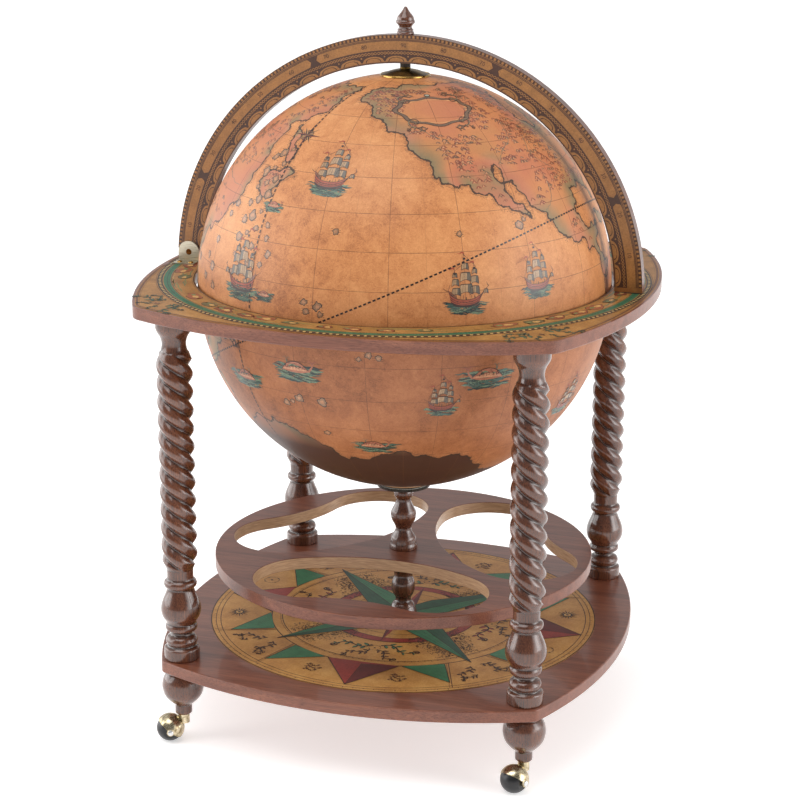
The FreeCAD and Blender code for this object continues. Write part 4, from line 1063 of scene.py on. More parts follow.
def sailingShip(seed=1, hull="9E4A31", sea=58):
    # a three-masted carrack seen from the side, its keel at the origin
    bands = seaPatch(sea, 18, seed, top=4, count=84)
    upper = [(-25, 18), (-22, 14.4), (-13, 9), (0, 7.4), (12, 8.6), (20, 12.6), (26, 15)]
    lower = [(-22, 3), (-17, -1.6), (-8, -3.4), (3, -3.6), (12, -2.4), (19, 1), (25, 14.4)]
    bands.append(filled(lower, upper, hull, 4, 16))
    bands.append(filled([(-22, 3), (-17, -1.6), (-8, -3.4), (3, -3.6), (12, -2.4), (19, 1)],
                        [(-22.6, 5.4), (-16, 1.8), (-8, -0.2), (3, -0.6), (12, 0.8), (20.5, 4.4)], "33221C",
                        5, 12))
    for up in (0.42, 0.66, 0.97):
        edge = [(a[0] * (1 - up) + b[0] * up, a[1] * (1 - up) + b[1] * up) for a, b in zip(lower, upper)]
        bands.append(stroke(edge, 0.7, "2B1B16", 6, count=12))
    for x in (-13, -8.4, -3.8, 0.8, 5.4, 10):
        bands.append(ellipse(x, 3.4 + abs(x) * 0.1, 1.7, 1.5, "1F1512", 7, count=4))
    bands.append(filled([(-25, 17), (-22, 13.6), (-15, 10)], [(-27, 22), (-22.6, 19.6), (-16, 14.4)],
                        "7C4A34", 5, 6))
    masts = ((-14.5, 9, 52, -1.0), (0.5, 7, 74, 0.0), (13.5, 8, 60, 1.0))
    for x, low, high, lean in masts:
        bands.append(stroke([(x, low), (x + lean, high)], 1.1, "2B1D18", 4, (1, 0.6)))
        bands.append(filled([(x + lean - 1.6, high - 9), (x + lean, high - 9.4),
                             (x + lean + 1.6, high - 9)],
                            [(x + lean - 1.9, high - 6.6), (x + lean, high - 6.2),
                             (x + lean + 1.9, high - 6.6)], "2B1D18", 6, 4))
    bands.append(stroke([(23, 13), (36, 26)], 1.0, "2B1D18", 4, (1, 0.5)))
    bands.append(stroke([(-27, 20), (-34, 25)], 0.7, "2B1D18", 4, (1, 0.4)))
    for x, y, half, high in ((0.5, 22, 10.5, 14), (0.5, 39.5, 8.4, 13), (0.5, 54.5, 5.4, 9.5),
                             (13.5, 20, 7.6, 12), (14, 35, 6.2, 11),
                             (14.4, 47, 4.0, 7), (-14.5, 18.5, 6.8, 11), (-15, 32, 5.4, 9.5),
                             (-15.4, 42.5, 3.6, 6)):
        bands += sail(x, y, half, high, 0.6)
    bands += sail(31, 17.5, 3.4, 6)
    for x, _, high, lean in masts:
        top = high - 1
        bands.append(stroke([(x + lean, top + 1), (x - 3 + lean, top + 2.4), (x - 6.4 + lean, top + 0.4),
                             (x - 10 + lean, top + 1.6)],
                            2.1, "9C3A2B", 8, (1, 0.15), 8))
    ropes = (((0.5, 72), (35, 25)), ((0.5, 72), (13.5, 58)), ((-15, 50), (-26, 21)),
             ((14, 58), (35.6, 25.6)), ((0.5, 60), (-14, 50)),
             ((-9, 9), (0.5, 62)), ((9, 9), (0.7, 60)), ((-4, 8), (0.5, 46)), ((-20, 13), (-15, 46)),
             ((19, 13), (14, 52)))
    for rope in ropes:
        bands.append(stroke(rope, 0.45, "3B2A22", 3))
    return bands + seaPatch(sea * 0.8, 5, seed + 5, top=0.2, count=10)


def spoutingWhale(seed=2, wide=70):
    # a generic sea beast: a humped back, a forked tail and a jet of water over a wide patch of sea
    bands = seaPatch(wide, 24, seed, top=8, count=110)
    bands.append(filled([(-22, -1), (-8, -3), (8, -3), (19, 0)], [(-22, 0), (-12, 10), (4, 12), (19, 1.5)],
                        "A8664A", 4, 12))
    bands.append(filled([(-20, 0.5), (-8, 0), (8, 0), (16, 1)], [(-20, 1), (-10, 4.4), (4, 5), (16, 1.6)],
                        "C48A66", 5, 10))
    bands.append(stroke([(-22, 0), (-12, 10), (4, 12), (19, 1.5)], 0.8, "2B1D18", 6, count=12))
    for k in range(6):
        x = -14 + k * 4.6
        bands.append(stroke([(x, 2), (x + 1.4, 8 - abs(k - 2.5))], 0.6, "5A3426", 6))
    bands.append(stroke([(18, 0), (24, 7), (25, 12)], 3.4, "A8664A", 4, (1, 0.5), 7))
    bands.append(stroke([(25, 12), (20.6, 16.6), (17.6, 15)], 2.4, "8E4F38", 5, (1, 0.1), 6))
    bands.append(stroke([(25, 12), (29.4, 15.6), (33, 13.6)], 2.4, "8E4F38", 5, (1, 0.1), 6))
    for side in (-1, 1):
        bands.append(stroke([(-13, 10), (-13 + side * 2, 18), (-13 + side * 6, 16)], 0.9, "4C6658", 6,
                            (1, 0.2), 7))
    bands.append(ellipse(-16, 5, 1.6, 1.6, "1C1410", 7, count=5))
    for k in range(26):  # scales and folds, penned short
        x, y = -17 + 32 * hashNoise(k, 1, seed + 9), 1.5 + 7.5 * hashNoise(k, 2, seed + 9)
        bands.append(stroke([(x - 1.3, y), (x, y + 1.3), (x + 1.3, y)], 0.55, "4A2A20", 6, (0.4, 0.4), 5))
    return bands + seaPatch(wide * 0.8, 6, seed + 3, top=-0.5, count=26)


def islet(size, seed):
    bands = [blob(0, 0, size * 1.14, "281B16", 1, seed), blob(0, 0, size * 0.94, "8E6A4C", 2, seed),
             blob(0.1, 0.1, size * 0.5, "B07A54", 3, seed + 2)]
    for k in range(6):
        side = -1 if k % 2 else 1
        y = (k - 2.5) * size * 0.4
        bands.append(stroke([(side * size * 1.1, y), (side * size * 1.75, y)], 0.4, "3C2C22", 1))
    return bands


def windStar(size):
    # sixteen points, long and short in turn, each in a dark and a pale half
    bands = []
    for k in range(16):
        long = size * (1.0 if k % 4 == 0 else 0.72 if k % 2 == 0 else 0.46)
        tip, left, right = (polar(long, k * 22.5), polar(size * 0.2, k * 22.5 + 20),
                            polar(size * 0.2, k * 22.5 - 20))
        layer = 2 if k % 2 else (5 if k % 4 == 0 else 4)
        bands.append(band([(0, 0), left], [(0, 0), tip], "241A16", layer))
        bands.append(band([(0, 0), tip], [(0, 0), right], "B98A5C" if k % 4 else "7C3B2A", layer))
    ring = [arcBand(size * 0.33, size * 0.36, 0, 360, "241A16", 3, 15)]
    return ring + bands


def scroll(size, tone, layer=3, turns=1.4, width=1.2):
    # a spiral that opens out: radius grows evenly with angle
    t = np.linspace(0, turns * 2 * np.pi, 26)
    r = size * (0.14 + 0.86 * t / t[-1])
    return stroke(np.stack([r * np.cos(t) - size, r * np.sin(t)], -1), width, tone, layer, (0.4, 1))


def flourish(length, tone, leafTone, layer=2, width=1.0, seed=0):
    # a waving stem from the origin along +x, with a curl at its end and leaves to both sides
    t = np.linspace(0, 1, 24)
    stem = np.stack([length * t, length * 0.12 * np.sin(t * 7.2)], -1)
    bands = [stroke(stem, width, tone, layer + 1, (1, 0.6))]
    for k in range(9):
        at = stem[2 + int(k * 2.3)]
        side = 1 if k % 2 else -1
        reach = length * (0.17 - 0.009 * k) * (0.85 + 0.3 * hashNoise(k, 1, seed))
        tip = (at[0] + reach * 0.72, at[1] + side * reach)
        middle = (at[0] + reach * 0.06, at[1] + side * reach * 0.6)
        other = (at[0] + reach * 0.62, at[1] + side * reach * 0.42)
        bands.append(filled([tuple(at), middle, tip], [tuple(at), other, tip], leafTone, layer, 7))
        bands.append(stroke([tuple(at), middle, tip], width * 0.45, tone, layer + 2, count=6))
    end = stem[-1]
    bands += moveBands([scroll(length * 0.09, tone, layer + 1, width=width * 0.8)], end[0], end[1], 0.6,
                       1.0)
    return bands


def cartouche(wide, high):
    # a blank parchment shield in a frame of strapwork: four C scrolls, leaves and a boss at the top
    bands = [ellipse(0, 0, wide * 0.80, high * 0.60, "C98F5C", 1, count=24)]
    t = np.linspace(0, 2 * np.pi, 64)
    waves = 1 + 0.06 * np.cos(8 * t)
    rim = np.stack([wide * 0.42 * np.cos(t) * waves, high * 0.335 * np.sin(t) * waves], -1)
    bands.append(band(rim * 0.95, rim * 1.05, "6E5440", 3))
    bands.append(band(rim * 1.05, rim * 1.075, "2E221D", 4))
    bands.append(band(rim * 0.93, rim * 0.95, "2E221D", 4))
    for sx in (-1, 1):
        for sy in (-1, 1):
            curl = moveBands([scroll(high * 0.13, "4A3A30", 5, 1.3, 2.0),
                              scroll(high * 0.09, "8B7454", 6, 1.2, 1.2)],
                             wide * 0.36, high * 0.34, 0.5)
            bands += [(lower * (sx, sy), upper * (sx, sy), colour, layer) for lower, upper, colour,
                      layer in curl]
            leaf = moveBands(flourish(wide * 0.24, "3A2C25", "8C6A4E", 3, 1.1), wide * 0.16, high * 0.40,
                             0.1)
            bands += [(lower * (sx, sy), upper * (sx, sy), colour, layer) for lower, upper, colour,
                      layer in leaf]
    bands += [ellipse(0, high * 0.42, 9, 7, "2E221D", 6, count=12),
              ellipse(0, high * 0.42, 6.4, 4.8, "9A9A86", 7, count=12)]
    for k in range(5):
        y = high * (0.16 - 0.08 * k)
        half = wide * 0.30 * math.sqrt(1 - (y / (high * 0.3)) ** 2)
        bands.append(stroke([(-half, y), (half, y)], 0.35, "9B6A42", 3))
    return bands


def dashedLine(lons, lats, dash, gap, width, colour, layer=4):
    # dashes along a path given in degrees, measured in mm along it
    x, y = np.asarray(lons) * mmPerDegree, np.asarray(lats) * mmPerDegree
    squeeze = np.cos(np.asarray(lats) * deg)
    place = np.concatenate([[0], np.cumsum(np.hypot(np.diff(x) * squeeze[:-1], np.diff(y)))])
    bands = []
    for start in np.arange(0, place[-1] - dash, dash + gap):
        at = np.array([start, start + dash])
        px, py, s = np.interp(at, place, x), np.interp(at, place, y), np.interp(at, place, squeeze)
        run = np.array([(px[1] - px[0]) * s.mean(), py[1] - py[0]])
        run /= np.hypot(*run)
        side = np.array([-run[1] / s.mean(), run[0]]) * width / 2
        path = np.stack([px, py], -1)
        bands.append(((path - side) / mmPerDegree, (path + side) / mmPerDegree, colour, layer))
    return bands


def hillsAndWoods(count, seed, lonRange, latRange, keepNorth):
    # little shaded hills scattered over the land, kept 7 mm from every coast, with clumps where a slow
    # noise is high
    k = np.arange(count)
    lon = lonRange[0] + (lonRange[1] - lonRange[0]) * hashNoise(k, 1, seed)
    lat = latRange[0] + (latRange[1] - latRange[0]) * hashNoise(k, 2, seed)
    inland = coastField(lon, lat) > 7
    clump = smoothNoise(lon / 7, lat / 5, seed) > 0.44
    clump &= ((lon + 55.4) / 19) ** 2 + ((lat - 63.2) / 8.5) ** 2 > 1  # the shield's parchment stays clear
    bands = []
    for index in np.flatnonzero(inland & clump & (np.abs(lat) < 76)
                                & ((lat > 1.8) if keepNorth else (lat < -1.8))):
        size = 1.15 + 1.15 * hashNoise(index, 5, seed)
        tone = ("7C4030", "8E4C38", "66503C")[int(hashNoise(index, 6, seed) * 2.99)]
        hill = [filled([(-2, 0), (0.2, 0.2), (2, 0)], [(-2, 0), (-0.2, 2.2), (2, 0)], "B9805A", 1, 5),
                stroke([(-2.1, 0), (-0.7, 2.0), (0.4, 1.7), (2.1, 0)], 0.5, tone, 2, count=6),
                stroke([(0.5, 1.7), (1.0, 0.2)], 0.75, tone, 2)]
        bands += onChart(moveBands(hill, size=size), lon[index], lat[index])
    return bands


def rivers(routes, layer=2):
    bands = []
    for index, route in enumerate(routes):
        points = resample(smoothProfile(np.array(route, float) * mmPerDegree, 2.0), 26)
        k = np.arange(len(points))
        points[:, 1] += 3.2 * (smoothNoise(k * 0.7, k * 0 + index, 5) - 0.5)
        line = stroke(points, 1.0, "5C6A5A", layer, (0.3, 1))
        bands.append((line[0] / mmPerDegree, line[1] / mmPerDegree, line[2], line[3]))
    return bands


chart = {
    "lidShips": [(-98.1, 36.6, 0.98, False, 11), (-56.9, 6.6, 0.92, False, 12),
                 (-35.4, 8.6, 0.84, False, 13), (-121.4, 6.6, 1.1, True, 14),
                 (52, 34, 0.9, False, 15), (60, 12, 0.8, True, 16), (150, 6, 0.9, False, 17),
                 (176, 4, 0.6, True, 18)],
    "lidWhales": [(-115.4, 29.4, 0.52, False, 21), (-112.4, 6.2, 0.5, True, 22), (44, 50, 0.6, False, 23),
                  (18, 24, 0.5, True, 24)],
    "lidIsles": [(-92.4, 24.8, 4.0, 1), (-57.5, 24.6, 3.6, 2), (-38.4, 25.6, 5.5, 3),
                 (-36.4, 26.8, 3.0, 31), (-99.6, 6.2, 4.4, 4), (-95.6, 5.4, 5.2, 5),
                 (-98.8, 3.8, 4.0, 6), (-94.8, 3.4, 3.6, 7), (-115.2, 24.2, 4.0, 8), (-114.4, 20.8, 3.6, 9),
                 (-112.6, 16.8, 4.4, 10),
                 (-115, 13.8, 3.6, 11), (-132.2, 27.8, 5.0, 12), (-134, 24.6, 4.0, 13), (-137, 17, 4.6, 14),
                 (-141, 12, 4.0, 15), (-137.4, 9.6, 6, 32),
                 (-142, 6, 5, 33), (-136, 4.6, 5, 34), (-150.6, 9.6, 4.6, 16), (68, 28, 3, 17),
                 (66, 38, 4, 18), (171, 3.6, 3, 20)]
    + [(-119.6 - 3.2 * (k % 3), 46 - 1.55 * k, 3.2 + (k * 7) % 4, 80 + k) for k in range(26)],
    "bowlShips": [(-62.4, -22.4, 0.74, False, 41), (66, -22, 0.9, True, 42), (150, -24, 0.9, False, 43),
                  (-14, -30, 0.8, False, 45), (175, -16, 0.8, True, 46), (70, -42, 0.6, False, 47)],
    "bowlWhales": [(-102.6, -12.6, 1.05, False, 51), (-82.4, -36.2, 0.85, False, 52),
                   (-123, -18.4, 0.95, True, 53), (-50.6, -13.4, 1.1, True, 54),
                   (84, -14, 0.8, False, 55), (160, -36, 0.8, True, 56), (-170, -28, 0.9, False, 57)],
    "bowlIsles": [(-108.4, -23.4, 4.6, 61), (-106, -22.6, 3.4, 62), (-103.4, -21.2, 5.4, 63),
                  (-96.2, -21.4, 6.0, 64), (-97.2, -32.4, 4.4, 65),
                  (-82, -6.4, 4.2, 66), (-79.4, -7.2, 3.6, 67), (-84.6, -7.6, 3.4, 68), (-36, -18, 4, 69),
                  (145, -14, 4, 70), (60, -33, 4, 71)],
}
mapInk = printersInk("mapInkUnderVarnish")


def chartFigures():
    here = SpherePlace()
    lid = []
    for lon, lat, size, mirror, seed in chart["lidShips"]:
        lid += onChart(moveBands(sailingShip(seed), size=size, mirror=mirror), lon, lat)
    for lon, lat, size, mirror, seed in chart["lidWhales"]:
        lid += onChart(moveBands(spoutingWhale(seed), size=size, mirror=mirror), lon, lat)
    for lon, lat, size, seed in chart["lidIsles"]:
        lid += onChart(islet(size, seed), lon, lat)
    lid += onChart(windStar(26), -117.9, 51.2)
    lid += onChart(cartouche(124, 92), -55.4, 63.2)
    lid += onChart(windStar(20), 64, 44)
    line = np.linspace(-97.5, 76, 160)
    lid += dashedLine(line, 26.5 * np.sin((line + 98) * deg), 4.2, 2.6, 2.3, "1E130F")
    up = np.linspace(2.0, 76, 60)
    lid += dashedLine(up * 0 - 117.4, up, 4.6, 2.8, 2.2, "1E130F")
    lid += (hillsAndWoods(4200, 3, (-104, 30), (8, 74), True)
            + hillsAndWoods(3600, 4, (68, 245), (3, 72), True))
    lid += rivers([[(-39, 41), (-34, 46), (-26, 50), (-22, 56)],
                   [(-10, 31), (-12, 38), (-20, 44), (-16, 50)], [(-28, 27), (-22, 31), (-20, 36)],
                   [(4, 33), (2, 40), (-4, 45)], [(-75, 53), (-66, 55), (-58, 52)],
                   [(117, 31), (116, 22), (118, 12), (114, 4)],
                   [(150, 25), (155, 33), (162, 36)], [(226, 32), (215, 33), (200, 36)],
                   [(205, 12), (203, 24), (196, 34)]])
    inkMesh("lidChart", lid, here, mapInk, "lid", "globe_map")
    bowl = []
    for lon, lat, size, mirror, seed in chart["bowlShips"]:
        bowl += onChart(moveBands(sailingShip(seed), size=size, mirror=mirror), lon, lat)
    for lon, lat, size, mirror, seed in chart["bowlWhales"]:
        bowl += onChart(moveBands(spoutingWhale(seed), size=size, mirror=mirror), lon, lat)
    for lon, lat, size, seed in chart["bowlIsles"]:
        bowl += onChart(islet(size, seed), lon, lat)
    line = np.linspace(-180, -104.5, 80)
    bowl += dashedLine(line, 26.5 * np.sin((line + 104) * deg), 4.2, 2.6, 2.3, "1E130F")
    line = np.linspace(77, 180, 90)
    bowl += dashedLine(line, 26.5 * np.sin((line + 104) * deg), 4.2, 2.6, 2.3, "1E130F")
    down = np.linspace(-2.0, -66, 60)
    bowl += dashedLine(down * 0 - 123.0, down, 4.6, 2.8, 2.2, "1E130F")
    bowl += (hillsAndWoods(700, 5, (5, 48), (-54, -2), False)
             + hillsAndWoods(500, 6, (92, 130), (-34, -2), False))
    bowl += rivers([[(46, -5), (34, -6), (22, -8), (12, -6)], [(28, -34), (26, -26), (30, -18)]])
    inkMesh("bowlChart", bowl, here, mapInk, "bowl", "globe_map")


chartFigures()
print("ships, islands, routes and hills drawn")


# Printed paper, glued down and varnished: ochre ground with warm clouds and a fine felted tooth.
def printedPaper(name, tones, coat=0.08, roughness=0.5):
    made, tree, shader = newMaterial(name, roughness=roughness, coat=coat, coatRoughness=0.15, ior=1.48)
    coords = add(tree, "TexCoord")
    cloud = add(tree, "TexNoise", {"Vector": coords.outputs["Object"], "Scale": 26.0, "Detail": 6.0,
                                   "Roughness": 0.65})
    tooth = add(tree, "TexNoise", {"Vector": coords.outputs["Object"], "Scale": 420.0, "Detail": 3.0})
    blend = add(tree, "Mix", {"Factor": 0.35, 2: cloud.outputs["Fac"], 3: tooth.outputs["Fac"]},
                data_type="FLOAT")
    colour = add(tree, "ValToRGB", {"Fac": blend},
                 stops=[(0.34, tones[0]), (0.5, tones[1]), (0.66, tones[2])])
    tree.links.new(colour.outputs["Color"], shader.inputs["Base Color"])
    add(tree, "Bump", {"Height": tooth.outputs["Fac"], "Distance": 0.03 * mm, "Strength": 0.25},
        into=shader.inputs["Normal"])
    return made


ringPaper = printedPaper("ringPrintPaper", ("83582A", "9C6E36", "B58448"))
discPaper = printedPaper("shelfDiscPaper", ("A06C32", "B88340", "C99752"))
flatInk = printersInk("printInkUnderVarnish", 0.5, 0.08)
arcInk = printersInk("arcPrintInk", 0.42, 0.3)


# The half meridian: bent beech under printed paper on both faces, stained brown on its rims.
def meridianWood():
    made = stainedBeech("meridianArcPrinted", "Y", turnedTones, coat=0.35, roughness=0.36)
    tree = made.node_tree
    shader = next(n for n in tree.nodes if n.type == "BSDF_PRINCIPLED")
    stained = shader.inputs["Base Color"].links[0].from_socket
    coords = add(tree, "TexCoord")
    cloud = add(tree, "TexNoise", {"Vector": coords.outputs["Object"], "Scale": 34.0, "Detail": 6.0,
                                   "Roughness": 0.7})
    paper = add(tree, "ValToRGB", {"Fac": cloud},
                stops=[(0.34, "754822"), (0.5, "8C5C2E"), (0.66, "A2713C")])
    turn = add(tree, "SeparateXYZ", {0: add(tree, "NewGeometry").outputs["Normal"]})
    face = add(tree, "Math", {0: add(tree, "Math", {0: turn.outputs["Y"]}, operation="ABSOLUTE"), 1: 0.7},
               operation="GREATER_THAN")
    mixed = add(tree, "Mix", {0: face, 6: stained, 7: paper.outputs["Color"]}, data_type="RGBA")
    tree.links.new(mixed.outputs[2], shader.inputs["Base Color"])
    return made


arc = {"centreZ": 654.0, "inner": 312.0, "outer": 352.0, "face": 9.0, "zones": (23.5, 66.5, 113.5, 156.5),
       "from": 2.0, "to": 176.2, "dark": "462818", "pale": "9C6A36"}


def numeral(text, size):  # a number as flat triangles in mm, centred on its own middle
    data = bpy.data.curves.new("numeral", "FONT")
    data.body = text
    data.size = size
    data.align_x = "CENTER"
    data.align_y = "CENTER"
    data.resolution_u = 2
    holder = bpy.data.objects.new("numeral", data)
    mesh = bpy.data.meshes.new_from_object(holder)
    points = np.zeros(len(mesh.vertices) * 3)
    mesh.vertices.foreach_get("co", points)
    mesh.calc_loop_triangles()
    triangles = np.zeros(len(mesh.loop_triangles) * 3, np.int32)
    mesh.loop_triangles.foreach_get("vertices", triangles)
    bpy.data.objects.remove(holder)
    bpy.data.meshes.remove(mesh)
    bpy.data.curves.remove(data)
    return points.reshape(-1, 3)[:, :2], triangles.reshape(-1, 3)


def arcPoint(r, a):
    return (r * math.cos(a * deg), r * math.sin(a * deg))


def arcOrnaments():
    # the face seen flat, x along and y up from the arc's centre, radii in mm and angles in degrees
    inner, dark, pale = arc["inner"], arc["dark"], arc["pale"]
    a0, a1 = arc["from"], arc["to"]
    bands = [arcBand(inner + 34.6, inner + 39.7, a0, a1, dark, 0),
             arcBand(inner + 32.6, inner + 33.6, a0, a1, dark, 0),
             arcBand(inner + 0.3, inner + 1.7, a0, a1, dark, 0)]
    for a in np.arange(a0 + 0.6, a1 - 0.4, 1.0):  # one bead for each degree
        bands.append(arcBand(inner + 35.4, inner + 38.9, a - 0.26, a + 0.26, pale, 1, 1))
    bands.append(arcBand(inner + 17.6, inner + 32.0, a0, a1, dark, 0))
    stops = [a0 - 6] + list(arc["zones"]) + [a1 + 6]
    for first, last in zip(stops[:-1], stops[1:]):  # panels with round ends, one for each zone
        t = np.linspace(0, 1, 60)
        reach = (last - first) / 2 - 0.75
        at = (first + last) / 2 + reach * (2 * t - 1)
        fromEnd = (reach - np.abs(at - (first + last) / 2)) * deg * (inner + 25)
        half = np.where(fromEnd < 6.2, np.sqrt(np.maximum(6.2 ** 2 - (6.2 - fromEnd) ** 2, 0)), 6.2)
        keep = (at > a0) & (at < a1)
        ring = np.stack([np.cos(at * deg), np.sin(at * deg)], -1)[keep]
        bands.append(band(ring * (inner + 24.8 - half[keep, None]),
                          ring * (inner + 24.8 + half[keep, None]), pale, 1))
    bands.append(arcBand(inner + 11.4, inner + 17.6, a0, a1, dark, 0))
    t = np.arange(a0 + 0.2, a1 - 0.2, 0.12)
    for side in (-1, 1):  # two plaited lines: r0 +- 1.5 sin(angle / pitch)
        r = inner + 14.5 + side * 1.5 * np.sin(2 * np.pi * t / 1.7)
        ring = np.stack([np.cos(t * deg), np.sin(t * deg)], -1)
        bands.append(band(ring * (r - 0.55)[:, None], ring * (r + 0.55)[:, None], pale, 1))
    bands.append(arcBand(inner + 3.4, inner + 11.4, a0, a1, dark, 0))
    step = 6.2
    # scallops: half discs on the inner line
    for middle in np.arange(a0 + step / 2, a1 - step / 2 + 0.1, step):
        for share, tone, layer in ((1.0, pale, 1), (0.74, dark, 2), (0.64, pale, 3)):
            t = np.linspace(-1, 1, 17)
            r = inner + 3.2 + 7.2 * share * np.sqrt(1 - t ** 2)
            at = (middle + t * step * 0.47 * share) * deg
            ring = np.stack([np.cos(at), np.sin(at)], -1)
            bands.append(band(ring * (inner + 2.6), ring * r[:, None], tone, layer))
        x, y = arcPoint(inner + 9.6, middle + step / 2)
        bands.append(ellipse(x, y, 2.4, 2.4, pale, 1, count=6))
    return bands


def meridianPrint():
    dress("meridian_arc", meridianWood())
    bands = arcOrnaments()
    for name, side in (("meridianPrintFront", -1), ("meridianPrintBack", 1)):
        along = (1, 0, 0) if side < 0 else (-1, 0, 0)
        place = FlatPlace((0, side * arc["face"] / 1000, arc["centreZ"] / 1000), along, (0, 0, 1))
        shown = bands if side < 0 else moveBands(bands, mirror=True)
        inkMesh(name, shown, place, arcInk, "meridian", "arc_print")
    # degrees up each side to 90 at the pole, both faces, read from outside
    points, faces, start = [], [], 0
    for side in (-1, 1):
        for a in range(10, 175, 10):
            text = str(90 - abs(a - 90))
            shape, triangles = numeral(text, 8.6)
            turn = (a - 90) * deg
            r = arc["inner"] + 24.8
            spin = np.array([[math.cos(turn), math.sin(turn)], [-math.sin(turn), math.cos(turn)]])
            flat = shape @ spin + (r * math.cos(a * deg), r * math.sin(a * deg))
            x = flat[:, 0] if side < 0 else -flat[:, 0]
            y = np.full(len(x), side * (arc["face"] + 0.40))
            points.append(np.stack([x, y, flat[:, 1] + arc["centreZ"]], -1) / 1000)
            faces.append(triangles + start)
            start += len(shape)
    points, faces = np.concatenate(points), np.concatenate(faces)
    mesh = bpy.data.meshes.new("meridianDegrees")
    mesh.from_pydata(points.tolist(), [], faces.tolist())
    mesh.materials.append(arcInk)
    tints = np.tile(hexColour("4A2A18"), (len(points), 1))
    layer = mesh.color_attributes.new("inkTint", "FLOAT_COLOR", "POINT")
    layer.data.foreach_set("color", np.ascontiguousarray(tints, np.float32).ravel())
    piece = bpy.data.objects.new("meridianDegrees", mesh)
    bpy.context.scene.collection.objects.link(piece)
    settle(piece, "meridian", "arc_print")


def boardOutline(node, atLeast, count=720):
    # a flat node's outer edge as radius against angle, from the farthest points of its mesh
    points = np.array([v.co for v in nodes[node].data.vertices])[:, :2] * 1000
    radius = np.hypot(points[:, 0], points[:, 1])
    points, radius = points[radius > atLeast], radius[radius > atLeast]
    angle = np.arctan2(points[:, 1], points[:, 0])
    slot = np.round(angle / (2 * np.pi) * 2000).astype(int)
    keep = [index for index in np.argsort(angle) if radius[index] >= radius[slot == slot[index]].max()
            - 0.05]
    angle, radius = angle[keep], radius[keep]
    wide = np.concatenate([angle - 2 * np.pi, angle, angle + 2 * np.pi])
    x, y = np.tile(radius * np.cos(angle), 3), np.tile(radius * np.sin(angle), 3)
    at = np.linspace(-np.pi, np.pi, count + 1)
    # between two known points the edge is a chord, so x and y are blended by where the ray cuts it
    k = np.clip(np.searchsorted(wide, at, side="right") - 1, 0, len(wide) - 2)
    ax, ay, bx, by = x[k], y[k], x[k + 1], y[k + 1]
    cross = ax * by - ay * bx
    r = cross / (np.cos(at) * (by - ay) - np.sin(at) * (bx - ax))
    short = np.abs(wide[k + 1] - wide[k]) < 1e-6
    return at / deg, np.where(short, np.hypot(ax, ay), r)


ring = {"opening": 303.8, "top": 0.6578, "green": (338.5, 348.5), "beads": (350.0, 357.6)}


